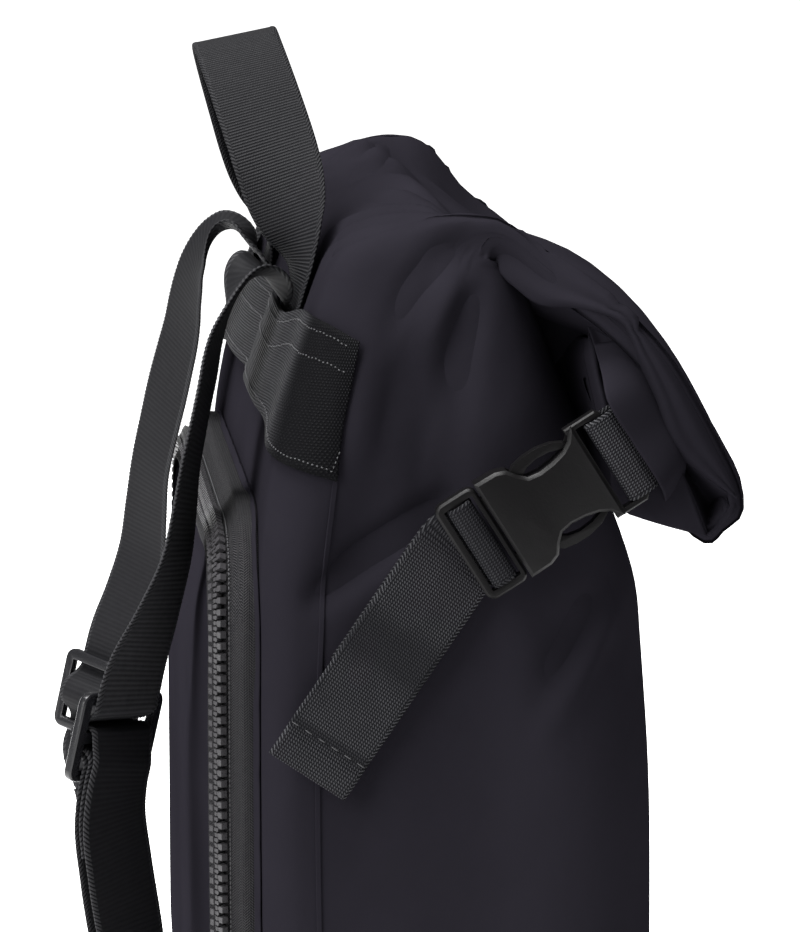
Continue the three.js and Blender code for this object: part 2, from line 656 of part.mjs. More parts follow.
// One webbing: sewn end, over to the slider, outer strand to the ring, inner strand back to the centre bar
function shoulderStrap(side) {
  const { rows, sliderRow, reach } = strapLine(side);
  const last = rows.length - 1;
  const stations = [];
  const place = (k, out, along = 0) => {
    const frame = strapFrame(rows, k);
    const p = frame.p.clone().addScaledVector(frame.out, out).addScaledVector(frame.down, along);
    stations.push({ p, w: frame.w });
  };
  const topStep = 0.5;
  for (let k = 0; k < sliderRow - 1; k += topStep) {
    place(k, SLIDER_RUN[0].out * THREE.MathUtils.smoothstep(k, sliderRow - 3, sliderRow - 1));
  }
  SLIDER_RUN.forEach(({ along, out }) => place(sliderRow + along / reach, out));
  const runOut = SLIDER_RUN[SLIDER_RUN.length - 1].out;
  const loopOut = SLIDER_LOOP[0].out;
  const strandStep = 0.5;
  const strand = [];
  for (let k = sliderRow + 1 + strandStep; k < last; k += strandStep) strand.push(k);
  const share = (k) => THREE.MathUtils.smoothstep(k, sliderRow + 1, last);
  strand.forEach((k) => place(k, mix(runOut, RING.hold, share(k))));
  for (let a = 90; a >= -90; a -= 45) place(last, RING.hold * Math.sin(rad(a)), RING.hold * Math.cos(rad(a)));
  strand.reverse().forEach((k) => place(k, mix(loopOut, -RING.hold, share(k))));
  SLIDER_LOOP.forEach(({ along, out }) => place(sliderRow + along / reach, out));
  return ribbon(stations);
}

// Plastic pieces

function extruded(shape, thickness, bevel = 0) {
  const geometry = new THREE.ExtrudeGeometry(shape, {
    depth: thickness - 2 * bevel,
    bevelEnabled: bevel > 0,
    bevelSize: bevel,
    bevelOffset: -bevel,
    bevelThickness: bevel,
    bevelSegments: 1,
    curveSegments: 3,
  });
  geometry.translate(0, 0, bevel - thickness / 2);
  geometry.deleteAttribute('normal');
  geometry.deleteAttribute('uv');
  const merged = mergeVertices(geometry, 1e-4);
  const corners = merged.getIndex().array;
  const kept = [];
  for (let i = 0; i < corners.length; i += 3) {
    const face = corners.slice(i, i + 3);
    if (new Set(face).size === 3) kept.push(...face);
  }
  merged.setIndex(kept);
  return merged;
}

function roundedRect(path, wide, tall, r) {
  const [x, y] = [wide / 2, tall / 2];
  path.moveTo(r - x, -y);
  path.lineTo(x - r, -y);
  path.absarc(x - r, r - y, r, rad(-90), 0);
  path.lineTo(x, y - r);
  path.absarc(x - r, y - r, r, 0, rad(90));
  path.lineTo(r - x, y);
  path.absarc(r - x, y - r, r, rad(90), rad(180));
  path.lineTo(-x, r - y);
  path.absarc(r - x, r - y, r, rad(180), rad(270));
  return path;
}

function rectangle(path, x0, x1, y0, y1) {
  path.moveTo(x0, y0);
  path.lineTo(x1, y0);
  path.lineTo(x1, y1);
  path.lineTo(x0, y1);
  path.closePath();
  return path;
}

function polygon(points) {
  return new THREE.Shape(points.map(([x, y]) => new THREE.Vector2(x, y)));
}

// Outline mirrored across the buckle's middle line
function bothSides(half) {
  return polygon([...half.map(([u, v]) => [u, -v]), ...half.map(([u, v]) => [u, v]).reverse()]);
}

function manifoldOf(geometry) {
  return new wasm.Manifold(new wasm.Mesh({
    numProp: 3,
    vertProperties: new Float32Array(geometry.getAttribute('position').array),
    triVerts: new Uint32Array(geometry.getIndex().array),
  }));
}

function geometryOf(manifold) {
  const mesh = manifold.getMesh();
  const geometry = new THREE.BufferGeometry();
  geometry.setAttribute('position', new THREE.BufferAttribute(new Float32Array(mesh.vertProperties), 3));
  geometry.setIndex(new THREE.BufferAttribute(new Uint32Array(mesh.triVerts), 1));
  return geometry;
}

// A plate with straight slots cut right through it
function slotted(plate, thickness, slots) {
  let solid = manifoldOf(plate);
  for (const [x0, x1, y0, y1] of slots) {
    solid = solid.subtract(manifoldOf(extruded(rectangle(new THREE.Shape(), x0, x1, y0, y1), 2 * thickness)));
  }
  return solid;
}

// Three-bar slider of one strap
function strapSlider(side) {
  const shape = roundedRect(new THREE.Shape(), SLIDER.wide, SLIDER.tall, SLIDER.corner);
  const half = SLIDER.wide / 2 - SLIDER.side;
  const edge = SLIDER.tall / 2 - SLIDER.bar;
  const bar = SLIDER.bar / 2;
  const plate = extruded(shape, SLIDER.t, SLIDER.bevel);
  const solid = slotted(plate, SLIDER.t, [[-half, half, bar, edge], [-half, half, -edge, -bar]]);
  const { rows, sliderRow } = strapLine(side);
  const { p, w, down, out } = strapFrame(rows, sliderRow);
  const place = new THREE.Matrix4().makeBasis(w, down, out).setPosition(p);
  return geometryOf(solid).applyMatrix4(place);
}

// Lower ring: a flat wire loop whose upper bar holds the strap and whose lower bar is held by the tab
const ringSpan = RING.tall - RING.wire;
const ringUp = vec(0, Math.sin(rad(RING.tilt)), Math.cos(rad(RING.tilt)));
const ringFoot = vec(RING.x, RING.y, RING.z).addScaledVector(ringUp, -ringSpan);

function strapRing() {
  const shape = roundedRect(new THREE.Shape(), RING.wide, RING.tall, RING.corner);
  const [half, edge] = [RING.wide / 2 - RING.wire, RING.tall / 2 - RING.wire];
  const plate = extruded(shape, RING.wire, RING.bevel);
  const solid = slotted(plate, RING.wire, [[-half, half, -edge, edge]]);
  const middle = vec(RING.x, RING.y, RING.z).addScaledVector(ringUp, -ringSpan / 2);
  const across = vec(1, 0, 0);
  const through = across.clone().cross(ringUp);
  const place = new THREE.Matrix4().makeBasis(across, ringUp, through).setPosition(middle);
  return geometryOf(solid).applyMatrix4(place);
}

// Webbing tab, sewn to the back below the door, folded round the ring's lower bar
function ringTab() {
  const w = vec(1, 0, 0);
  const stations = [];
  for (const z of [TAB.foot, TAB.head]) stations.push({ p: skinAt(RING.x, z, TAB.lift), w });
  for (let a = TAB.wrapFrom; a >= TAB.wrapTo; a -= TAB.wrapStep) {
    const turn = vec(0, Math.cos(rad(a)), Math.sin(rad(a)));
    stations.push({ p: ringFoot.clone().addScaledVector(turn, RING.hold), w });
  }
  for (const z of [TAB.head, TAB.foot]) stations.push({ p: skinAt(RING.x, z, TAB.lift + PLY + GAP / 2), w });
  return ribbon(stations);
}

// Place on the left buckle: u along it, v across it, out from its middle plane
const buckleU = vec(0, -Math.cos(rad(BUCKLE.rise)), Math.sin(rad(BUCKLE.rise)));
const buckleV = vec(0, Math.sin(rad(BUCKLE.rise)), Math.cos(rad(BUCKLE.rise)));
const buckleOut = vec(-1, 0, 0);
const buckleFrame = new THREE.Matrix4().makeBasis(buckleU, buckleV, buckleOut)
  .setPosition(BUCKLE.x, BUCKLE.y, BUCKLE.z);
const onBuckle = (u, out) => vec(u, 0, out).applyMatrix4(buckleFrame);

function buckleMale() {
  const frame = roundedRect(new THREE.Shape(), BUCKLE.seam, 2 * MALE.half, MALE.corner);
  const body = extruded(frame, MALE.t, MALE.bevel).translate(BUCKLE.seam / 2, 0, 0);
  const slots = MALE.slots.map(([from, to]) => [from, to, -MALE.slotHalf, MALE.slotHalf]);
  let solid = slotted(body, MALE.t, slots);
  for (const side of [1, -1]) {
    const points = PRONG.map(([u, v]) => [u, side * v]);
    solid = solid.add(manifoldOf(extruded(polygon(points), MALE.prongT)));
  }
  return geometryOf(solid).applyMatrix4(buckleFrame);
}

function buckleFemale() {
  const end = extruded(bothSides(FEMALE_END), FEMALE.endT, FEMALE.endBevel);
  const body = extruded(bothSides(FEMALE_BODY), FEMALE.t, FEMALE.bevel);
  let solid = manifoldOf(body).add(manifoldOf(end));
  const slot = rectangle(new THREE.Shape(), ...FEMALE.slot, -FEMALE.slotHalf, FEMALE.slotHalf);
  const cuts = [extruded(slot, 2 * FEMALE.t)];
  for (const side of [1, -1]) {
    cuts.push(extruded(polygon(CAVITY.map(([u, v]) => [u, side * v])), FEMALE.cavityT));
  }
  for (const cut of cuts) solid = solid.subtract(manifoldOf(cut));
  return geometryOf(solid).applyMatrix4(buckleFrame);
}

// Side strap: sewn to the side, up to the male half, round its bar and back down as the tail
function sideStrap() {
  const fall = vec(0, Math.cos(rad(TAIL.fall)), -Math.sin(rad(TAIL.fall)));
  const across = vec(0, Math.sin(rad(TAIL.fall)), Math.cos(rad(TAIL.fall)));
  const stations = [];
  const onTail = (q, out, thick = WEB_T) => {
    const p = onBuckle(0, out).addScaledVector(fall, q);
    const share = THREE.MathUtils.smoothstep(q, 0, TAIL.turn);
    stations.push({ p, w: buckleV.clone().lerp(across, share).normalize(), thick });
  };
  const skinStops = [...TAIL_STOPS.filter((q) => q < TAIL.sewn), TAIL.sewn].reverse();
  skinStops.forEach((q) => onTail(q, mix(MALE_WEB[0].out, TAIL.skinOut, Math.min(q / TAIL.settle, 1))));
  MALE_WEB.forEach(({ u, out }) => stations.push({ p: onBuckle(u, out), w: buckleV, thick: WEB_T }));
  const tailOut = MALE_WEB[MALE_WEB.length - 1].out;
  const hemFrom = TAIL.length - TAIL.hem;
  [...TAIL_STOPS, hemFrom].forEach((q) => onTail(q, tailOut + (TAIL.rise * q) / TAIL.length));
  [hemFrom + WEB_T / 2, TAIL.length].forEach((q) => onTail(q, tailOut + TAIL.rise, 2 * WEB_T));
  return ribbon(stations);
}

function rollTab() {
  return ribbon(ROLL_WEB.map(({ u, out }) => ({ p: onBuckle(u, out), w: buckleV })));
}

// Assembly

const finishes = {
  fabric: new THREE.MeshStandardMaterial({ color: COLOURS.fabric, roughness: 0.62, metalness: 0 }),
  webbing: new THREE.MeshStandardMaterial({ color: COLOURS.webbing, roughness: 0.7, metalness: 0 }),
  band: new THREE.MeshStandardMaterial({ color: COLOURS.band, roughness: 0.68, metalness: 0 }),
  plastic: new THREE.MeshStandardMaterial({ color: COLOURS.plastic, roughness: 0.32, metalness: 0 }),
  zip: new THREE.MeshStandardMaterial({ color: COLOURS.zip, roughness: 0.4, metalness: 0 }),
};

const group = new THREE.Group();

function addPiece(name, geometry, finish) {
  const mesh = new THREE.Mesh(geometry, finishes[finish]);
  mesh.name = name;
  group.add(mesh);
}

function addPair(name, make, finish) {
  addPiece(`${name}_left`, make('left'), finish);
  addPiece(`${name}_right`, mirrored(make('right')), finish);
}

addPiece('bag_shell', bagShell(), 'fabric');
addPiece('back_door', backDoor(), 'fabric');
addPiece('zip_tape', zipTape(), 'webbing');
addPiece('zip_chain', zipChain(), 'zip');
addPiece('anchor_band', anchorBand(), 'band');
addPiece('carry_handle', carryHandle(), 'webbing');
addPair('shoulder_strap', shoulderStrap, 'webbing');
addPair('strap_slider', strapSlider, 'plastic');
addPair('strap_ring', strapRing, 'plastic');
addPair('ring_tab', ringTab, 'webbing');
addPair('buckle_male', buckleMale, 'plastic');
addPair('buckle_female', buckleFemale, 'plastic');
addPair('side_strap', sideStrap, 'webbing');
addPair('roll_tab', rollTab, 'webbing');

export default group;
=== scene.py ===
"""Roll-top backpack in black coated fabric with webbing straps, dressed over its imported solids."""
import functools
import itertools
import math

import bmesh
import bpy
import numpy as np
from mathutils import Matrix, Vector
from mathutils.bvhtree import BVHTree
from mathutils.kdtree import KDTree


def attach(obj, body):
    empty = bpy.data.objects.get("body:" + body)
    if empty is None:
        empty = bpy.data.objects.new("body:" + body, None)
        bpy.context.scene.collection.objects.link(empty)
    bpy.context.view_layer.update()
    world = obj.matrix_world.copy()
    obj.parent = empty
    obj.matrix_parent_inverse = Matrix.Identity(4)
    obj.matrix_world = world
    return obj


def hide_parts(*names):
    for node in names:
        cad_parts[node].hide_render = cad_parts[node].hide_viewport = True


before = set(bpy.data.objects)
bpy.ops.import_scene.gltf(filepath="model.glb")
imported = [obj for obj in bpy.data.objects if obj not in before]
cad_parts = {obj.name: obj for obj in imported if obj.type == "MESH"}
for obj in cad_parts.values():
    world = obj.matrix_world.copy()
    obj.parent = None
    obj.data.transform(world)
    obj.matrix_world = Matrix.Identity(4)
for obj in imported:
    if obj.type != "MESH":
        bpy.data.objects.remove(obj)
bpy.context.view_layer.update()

bl_info = {
    "name": "Roll-top backpack",
    "version": (1, 0, 0),
    "blender": (4, 5, 0),
    "location": "3D View > Sidebar > Backpack",
    "description": "Makes the fabric, webbing, zip and fittings of a roll-top backpack",
    "category": "Object",
}

SIDES = {"left": -1.0, "right": 1.0}
MM = 0.001
WEBBING = 30 * MM

# Where the light comes from: place, size and power of each lamp
LIGHTS = {"key": ((-1.1, 1.5, 1.7), 1.1, 14.0), "top": ((-0.2, 0.5, 2.3), 1.4, 36.0),
          "fill": ((-0.9, 1.6, 0.6), 1.0, 5.0)}
LIGHTS_AIM = (0.0, 0.0, 0.28)
SKY_STRENGTH = 0.28
CAMERA_PLACE, CAMERA_AIM, CAMERA_LENS = (-1.46735, 0.15392, 0.57115), (0.0004, -0.00035, 0.30295), 160.63
FLOOR_HALF = 14

# Folds of each side panel, drawn on the left side in millimetres: how far each is pressed in (negative
# stands out), how wide it is, and points (y, z) along it
SIDE_FOLDS = [
    (6.5, 4.5, [(42, 286), (28, 297), (15, 306), (0, 316)]),
    (-1.6, 6.5, [(41, 279), (26, 287), (10, 297)]),
    (-3.4, 4.5, [(-60, 283), (-52, 269), (-42, 252), (-34, 240)]),
    (3.2, 6.5, [(-52, 287), (-44, 270), (-34, 255)]),
    (3.2, 5.0, [(-7, 400), (1, 395), (10, 386), (17, 372)]),
    (4.0, 6.0, [(-11, 389), (-8, 379), (-5, 366), (-4, 350)]),
    (-2.8, 5.0, [(-6, 389), (-1, 380), (5, 366)]),
    (-2.0, 7.0, [(24, 374), (26, 351), (31, 326)]),
    (1.8, 22.0, [(-20, 270), (-12, 230), (-19, 190), (-12, 150)]),
    (-1.4, 20.0, [(20, 250), (10, 190), (16, 120)]),
    (1.2, 16.0, [(-50, 200), (-46, 140), (-54, 80)]),
]
SIDE_PLANE = 142

# Creases across the top, back and hood, mirrored on both sides: press, width and points (x, y, z)
TOP_FOLDS = [
    (-3.4, 4.5, [(-125, -6, 409), (-116, -1, 410), (-104, 4, 408), (-89, 11, 406), (-56, 29, 394)]),
    (3.4, 6.5, [(-124, -2, 406), (-113, 5, 406), (-98, 12, 403), (-70, 29, 394)]),
    (-2.6, 5.0, [(-122, -11, 410), (-100, -9, 411), (-70, -6, 410), (-9, 2, 408), (15, 24, 399)]),
    (3.0, 6.5, [(-126, -8, 409), (-92, -3, 410), (-62, 2, 409), (-24, 12, 404)]),
    (2.6, 6.0, [(-126, 6, 400), (-112, 20, 400), (-90, 33, 393)]),
    (1.2, 7.0, [(-140, -50, 388), (-112, -58, 384), (-70, -66, 378)]),
    (1.4, 8.0, [(-147, -78, 352), (-120, -92, 348), (-84, -100, 344)]),
    (-1.0, 8.0, [(-146, -90, 322), (-118, -104, 324), (-80, -110, 322)]),
    (0.9, 10.0, [(-60, -92, 360), (-10, -96, 352), (40, -98, 346)]),
    (1.4, 13.0, [(-96, -72, 270), (-60, -74, 235), (-52, -76, 170)]),
    (-1.0, 14.0, [(-124, -66, 250), (-100, -72, 190), (-104, -72, 110)]),
]
# Folds narrower than this get a finer mesh, this far round them
NARROW_FOLD, FINE_REACH = 8, 14 * MM
FOLD_POINTS = 60

# Cloth at each end of the roll, drawn on the right side: for each sheet two edges, points (x, y, z), and how
# far it stands out (negative is pressed in) on the way from one to the other; a sewn sheet starts on the body
ROLL_RIM = [(132, -20.2, 408.6), (135, -25.4, 405.9), (138, -30.5, 403), (142, -39.8, 398.1),
            (145, -50.3, 388.6), (147, -59.9, 378.9), (148, -68.7, 366.8), (149, -76.2, 356.9),
            (149, -83.9, 344.6), (148.5, -88.8, 334.5), (148, -93.3, 325.7), (147, -96.6, 317.4)]
ROLL_INNER = [(123, -14.3, 398.2), (131, -18.4, 391.4), (135, -24.5, 385.9), (138, -30.7, 381.3),
              (142, -41.9, 380.1), (145, -52.6, 378.1), (146, -56.8, 375.8), (147, -62.3, 364.4),
              (147.5, -67.6, 351.2), (148, -73.3, 335), (148, -83.4, 326.2), (147, -94.3, 318.5)]
ROLL_END = [
    {"from": ROLL_RIM, "to": ROLL_INNER, "sewn": True,
     "bulge": [(0, 0), (0.12, 2.4), (0.5, 3.2), (0.88, 2.4), (1, -1)]},
    {"from": ROLL_INNER[:7],
     "to": [(118, -17, 395), (110, -24, 389), (106, -29, 381), (104, -33, 373), (104, -37, 364),
            (104, -40, 354)],
     "bulge": [(0, -1), (0.2, -15), (0.5, -14), (1, 0)]},
    {"from": [(143, -55.9, 375.4), (144, -62.8, 363.3), (145, -68.1, 350.2), (146, -73.7, 334.3)],
     "to": [(130, -48.5, 372), (134, -51.5, 362.7), (137, -54.5, 352.2), (140, -58, 339.4)],
     "bulge": [(0, -1.5), (0.35, -5), (0.7, -4), (1, 0)]},
    {"from": [(122, -49.4, 366), (130, -48.5, 361), (134, -49.5, 354.5), (137, -51, 346.5),
              (138, -52.5, 338)],
     "to": [(122, -50, 369.4), (131, -51.3, 364.5), (135, -52.7, 356.1), (138, -54.8, 347.9),
            (140, -58, 338)],
     "bulge": [(0, -5), (0.3, 2), (0.7, 2.5), (1, 0)]},
    {"from": [(121, -50.4, 367), (129, -49.5, 362), (133, -50.5, 355.5), (136, -52, 347.5),
              (137, -53.5, 338.5), (138, -59, 326), (138, -67, 314)],
     "to": [(104, -41, 362), (104, -43, 352), (105, -46, 343), (106, -50, 333), (107, -54, 320),
            (107, -58, 308)],
     "bulge": [(0, 0.5), (0.3, -6), (0.7, -4), (1, 0)]},
    {"from": [(147, -73.5, 334.5), (147.5, -83.5, 326.1), (146.5, -94.7, 317.7)],
     "to": [(147, -73.5, 333.8), (147.5, -79.2, 322.2), (146.5, -86.2, 304.8)],
     "bulge": [(0, -1), (0.5, -12), (1, -1)]},
    {"from": [(147, -73.5, 334.2), (148, -79.1, 322.6), (148, -82.5, 313.6), (147, -86.2, 304.3)],
     "to": [(138, -60, 339), (139, -56.5, 331), (140, -55.5, 321), (141, -57, 314.5), (142, -61.4, 311.4)],
     "bulge": [(0, -1), (0.3, 1.5), (0.7, 1.5), (1, -1)]},
    {"from": [(147, -96.6, 317.4), (147, -97.3, 315.4), (147, -94.4, 309.1), (146.5, -89.6, 303.8),
              (146, -86.7, 303.4)], "sewn": True,
     "to": [(146, -94.5, 317.6), (146, -93.8, 315.3), (146, -91.3, 310.3), (146, -88, 306),
            (146, -86, 305.1)],
     "bulge": [(0, 0), (0.4, 1.5), (1, -1)]},
    {"from": [(141, -61, 370), (146.5, -66, 359.5), (147.5, -73, 346.5), (147.5, -79, 334),
              (144.5, -78.5, 323)],
     "to": [(135, -50, 367), (149, -50.5, 359), (156.9, -51, 352.4), (157.2, -59.6, 338),
            (156.9, -69.4, 322.5), (150, -71.5, 318), (141, -73, 314)],
     "bulge": [(0, -1), (0.4, 0.8), (0.8, 0.8), (1, 0)]},
]
SHEET_ROWS, SHEET_COLUMNS, SEWN_ROWS, SHEET_THICK = 48, 25, 18, 0.8 * MM

# The roll: at heights z, cloth in front of y is its hood, whose middle is bowed forward
HOOD_BACK = np.array([(300, -92, 15), (316, -84, 15), (332, -75, 15), (348, -66.5, 13.5), (358, -58, 12),
                      (366, -44, 9), (382, -34, 5), (390, -26, 4), (396, -16, 3), (401, 2, 0),
                      (420, 2, 0)], float)
# How far the middle of the hood sinks at y, and how much of that is backward
HOOD_SINK = np.array([(-113, 3.5, 0.97), (-100, 3.2, 0.92), (-88, 3, 0.85), (-76, 3, 0.7), (-66, 4.5, 0.65),
                      (-58, 7, 0.6), (-46, 12, 0.5), (-36, 15, 0.45), (-22, 13.5, 0.22), (-14, 11, 0.2),
                      (-8, 6, 0.2), (-2, 2, 0.2), (4, 0, 0.2)], float)
# Corners (y, z) of the hollow at each end of the roll, under its hood
ROLL_HOLLOW = np.array([(-73.5, 334.2), (-94.7, 317.7), (-86.2, 304.8)])

# Where the side panel is sewn to the gusset, (y, z) on the left side
SIDE_SEAM = [(35.5, 327), (37.5, 310), (39.5, 292), (41, 265), (42, 235), (42, 200), (41.5, 160), (41, 110),
             (40, 60), (38, 22)]

# The back's rounded corners, in millimetres: half its width, its depth and the corners' radius
BACK_HALF, BACK_DEPTH, BACK_RADIUS = 141.0, 46.0, 25.0

# The plane behind the door, y at heights z, and how far off it the door's cloth is held and then comes free
DOOR_PLANE_Z, DOOR_PLANE_Y = [0.25, 0.302, 0.335], [0.060, 0.059, 0.054]
DOOR_HELD, DOOR_FREE = 14.6 * MM, 1.8 * MM
CLOTH_FRAMES = 20

# Blocks of one zip tooth: corners, taper, size along the zip, across it and up, middle across it, and turn
TOOTH_BLOCKS = [(4, 0.82, (1.65, 1.7, 2.2), 2.45, 45.0), (4, 0.9, (0.92, 1.1, 1.8), 1.0, 45.0),
                (8, 0.8, (0.94, 0.92, 1.9), -0.25, 22.5)]


class BagSizes(bpy.types.PropertyGroup):
    """Sizes of the bag's details that a user may change."""

    rib_pitch: bpy.props.FloatProperty(
        name="Rib pitch", description="Distance between the ribs of the strap webbing",
        default=1.75 * MM, min=0.5 * MM, unit="LENGTH", precision=5)
    rib_height: bpy.props.FloatProperty(
        name="Rib height", description="How far the strap's ribs stand up",
        default=0.03 * MM, min=0.0, unit="LENGTH", precision=5)
    selvage: bpy.props.FloatProperty(
        name="Selvage", description="Width of the webbing's braided edge",
        default=1.9 * MM, min=0.2 * MM, unit="LENGTH", precision=5)
    nub_pitch: bpy.props.FloatProperty(
        name="Nub pitch", description="Distance between the nubs of the braided edge",
        default=1.5 * MM, min=0.4 * MM, unit="LENGTH", precision=5)
    tooth_pitch: bpy.props.FloatProperty(
        name="Tooth pitch", description="Distance between the zip teeth of one side",
        default=3.6 * MM, min=2.0 * MM, unit="LENGTH", precision=5)
    tape_half: bpy.props.FloatProperty(
        name="Half tape", description="Half the width of the zip's tape",
        default=10.4 * MM, min=6.0 * MM, unit="LENGTH", precision=5)
    stitch_gap: bpy.props.FloatProperty(
        name="Stitch gap", description="Distance from one stitch to the next",
        default=2.7 * MM, min=1.0 * MM, unit="LENGTH", precision=5)
    stitch_length: bpy.props.FloatProperty(
        name="Stitch length", description="Length of one stitch",
        default=2.1 * MM, min=0.5 * MM, unit="LENGTH", precision=5)
    thread: bpy.props.FloatProperty(
        name="Thread", description="Thickness of the sewing thread",
        default=0.55 * MM, min=0.1 * MM, unit="LENGTH", precision=5)
    door_swell: bpy.props.FloatProperty(
        name="Door swell", description="How far the padded door may swell",
        default=3.5 * MM, min=0.0, unit="LENGTH", precision=5)
    fold_depth: bpy.props.FloatProperty(
        name="Fold depth", description="Scale of the folds in the fabric",
        default=1.0, min=0.0, max=2.0)
    edge_round: bpy.props.FloatProperty(
        name="Edge round", description="Rounding of the moulded fittings' edges",
        default=0.6 * MM, min=0.05 * MM, unit="LENGTH", precision=5)


class BagColours(bpy.types.PropertyGroup):
    """Colours of the bag's materials."""

    fabric: bpy.props.FloatVectorProperty(
        name="Fabric", description="Coated fabric of the body and door", size=3, subtype="COLOR",
        default=(0.0103, 0.0095, 0.0125), min=0.0, max=1.0)
    webbing: bpy.props.FloatVectorProperty(
        name="Webbing", description="Crests of the webbing's yarns", size=3, subtype="COLOR",
        default=(0.026, 0.026, 0.028), min=0.0, max=1.0)
    # Painted shade: this dark colour is painted between the yarns of the webbing and the zip tape, standing
    # in for the shade that falls in the grooves
    groove_shade: bpy.props.FloatVectorProperty(
        name="Groove", description="Between the webbing's yarns", size=3, subtype="COLOR",
        default=(0.004, 0.004, 0.005), min=0.0, max=1.0)
    thread: bpy.props.FloatVectorProperty(
        name="Thread", description="Sewing thread", size=3, subtype="COLOR",
        default=(0.036, 0.036, 0.038), min=0.0, max=1.0)
    tape: bpy.props.FloatVectorProperty(
        name="Zip tape", description="Knit of the zip's tape", size=3, subtype="COLOR",
        default=(0.050, 0.049, 0.051), min=0.0, max=1.0)
    teeth: bpy.props.FloatVectorProperty(
        name="Zip teeth", description="Moulded zip teeth", size=3, subtype="COLOR",
        default=(0.028, 0.027, 0.029), min=0.0, max=1.0)
    buckle: bpy.props.FloatVectorProperty(
        name="Buckle", description="Moulded buckle halves", size=3, subtype="COLOR",
        default=(0.0035, 0.0033, 0.0035), min=0.0, max=1.0)
    slider: bpy.props.FloatVectorProperty(
        name="Slider", description="Polished sliders and rings", size=3, subtype="COLOR",
        default=(0.006, 0.006, 0.007), min=0.0, max=1.0)
    floor: bpy.props.FloatVectorProperty(
        name="Floor", description="Pale studio floor", size=3, subtype="COLOR",
        default=(0.92, 0.92, 0.92), min=0.0, max=1.0)


def new_node(tree, kind, settings, sockets):
    """Adds a node of any type to a tree: its settings first, then values or links for its sockets."""
    made = tree.nodes.new(kind)
    for key, value in settings.items():
        setattr(made, key, value)
    for key, value in sockets.items():
        if isinstance(value, bpy.types.NodeSocket):
            tree.links.new(value, made.inputs[key])
        else:
            made.inputs[key].default_value = value
    return made


class Wire:
    """A value inside a material; arithmetic on it adds Math nodes."""

    def __init__(self, tree, socket=None):
        self.tree, self.socket = tree, socket

    def node(self, kind, settings, sockets, out=0):
        """Adds a node whose sockets may take other wires; gives the wire from one of its outputs."""
        plain = {key: getattr(value, "socket", value) for key, value in sockets.items()}
        return Wire(self.tree, new_node(self.tree, kind, settings, plain).outputs[out])

    def calc(self, operation, *values):
        """A Math node on values and wires."""
        return self.node("ShaderNodeMath", {"operation": operation}, dict(enumerate(values)))

    def __add__(self, other):
        return self.calc("ADD", self, other)

    def __radd__(self, other):
        return self.calc("ADD", other, self)

    def __sub__(self, other):
        return self.calc("SUBTRACT", self, other)

    def __rsub__(self, other):
        return self.calc("SUBTRACT", other, self)

    def __mul__(self, other):
        return self.calc("MULTIPLY", self, other)

    def __rmul__(self, other):
        return self.calc("MULTIPLY", other, self)

    def __gt__(self, other):
        return self.calc("GREATER_THAN", self, other)

    def turn(self, pitch):
        """The cosine of this value, which repeats after pitch."""
        return self.calc("COSINE", self * (2 * math.pi / pitch))

    def wave(self, pitch):
        """A smooth wave from 0 to 1 that repeats after pitch."""
        return 0.5 + 0.5 * self.turn(pitch)

    def odd(self, pitch):
        """1 in every other row, for rows that are a pitch apart."""
        return self.turn(2 * pitch) > 0.0

    def clip(self, low, high):
        """0 at low, 1 at high, smooth between."""
        return self.node("ShaderNodeMapRange", {"interpolation_type": "SMOOTHSTEP"},
                         {0: self, 1: low, 2: high})

    def noise(self, place, scale, detail=2.0):
        """Clouds of a scale at a place."""
        return self.node("ShaderNodeTexNoise", {}, {"Vector": place, "Scale": scale, "Detail": detail})

    def blend(self, low, high):
        """The colour between low and high that this value chooses."""
        return self.node("ShaderNodeMix", {"data_type": "RGBA"}, {0: self, 6: low, 7: high}, out=2)


def solid(colour, scale=1.0):
    """A colour property, made lighter or darker, as a socket takes it."""
    return (colour[0] * scale, colour[1] * scale, colour[2] * scale, 1.0)


def finish(name, paint, relief, **constants):
    """A material whose colour, roughness and height come from paint; constants go on the shader's sockets."""
    material = bpy.data.materials.new(name)
    material.use_nodes = True
    tree = material.node_tree
    shader = tree.nodes["Principled BSDF"]
    start = Wire(tree)
    colour, roughness, height = paint(start)
    tree.links.new(colour.socket, shader.inputs["Base Color"])
    tree.links.new(roughness.socket, shader.inputs["Roughness"])
    bump = start.node("ShaderNodeBump", {}, {"Strength": 1.0, "Distance": relief, "Height": height})
    tree.links.new(bump.socket, shader.inputs["Normal"])
    for key, value in constants.items():
        shader.inputs[key.replace("_", " ")].default_value = value
    return material


def object_place(start):
    """Object coordinates."""
    return start.node("ShaderNodeTexCoord", {}, {}, out=3)


def cloth_spot(start):
    """Distance across the webbing and along it, in metres."""
    spot = start.node("ShaderNodeUVMap", {"uv_map": "cloth"}, {})
    parts = spot.node("ShaderNodeSeparateXYZ", {}, {0: spot})
    return parts, Wire(start.tree, parts.socket.node.outputs[1])


def cloth_place(start):
    """Distance across the webbing and along it, in metres, and 1 on its inner face."""
    across, along = cloth_spot(start)
    inner = across > 0.05
    return across - inner * 0.1, along, inner


def selvage_of(across, low, high):
    """Distance from the webbing's nearer edge, and 1 on its braid, which fades out from low to high."""
    edge = across.calc("MINIMUM", across, WEBBING - across)
    return edge, 1.0 - edge.clip(low, high)


def black_fabric(name, colours):
    """Coated fabric: clouded, with a fine grain and faint ripples."""
    colour = colours.fabric

    def paint(start):
        place = object_place(start)
        cloud = start.noise(place, 14.0, 3.0)
        grain = start.noise(place, 1900.0, 1.0)
        ripple = start.noise(place, 70.0, 2.0)
        shade = (cloud.clip(0.3, 0.7) * 0.7 + grain * 0.3).blend(solid(colour, 0.88), solid(colour, 1.14))
        return shade, 0.46 + cloud * 0.08 + grain * 0.06, ripple * 0.75 + grain * 0.05
    return finish(name, paint, 0.5 * MM, Specular_IOR_Level=0.0)


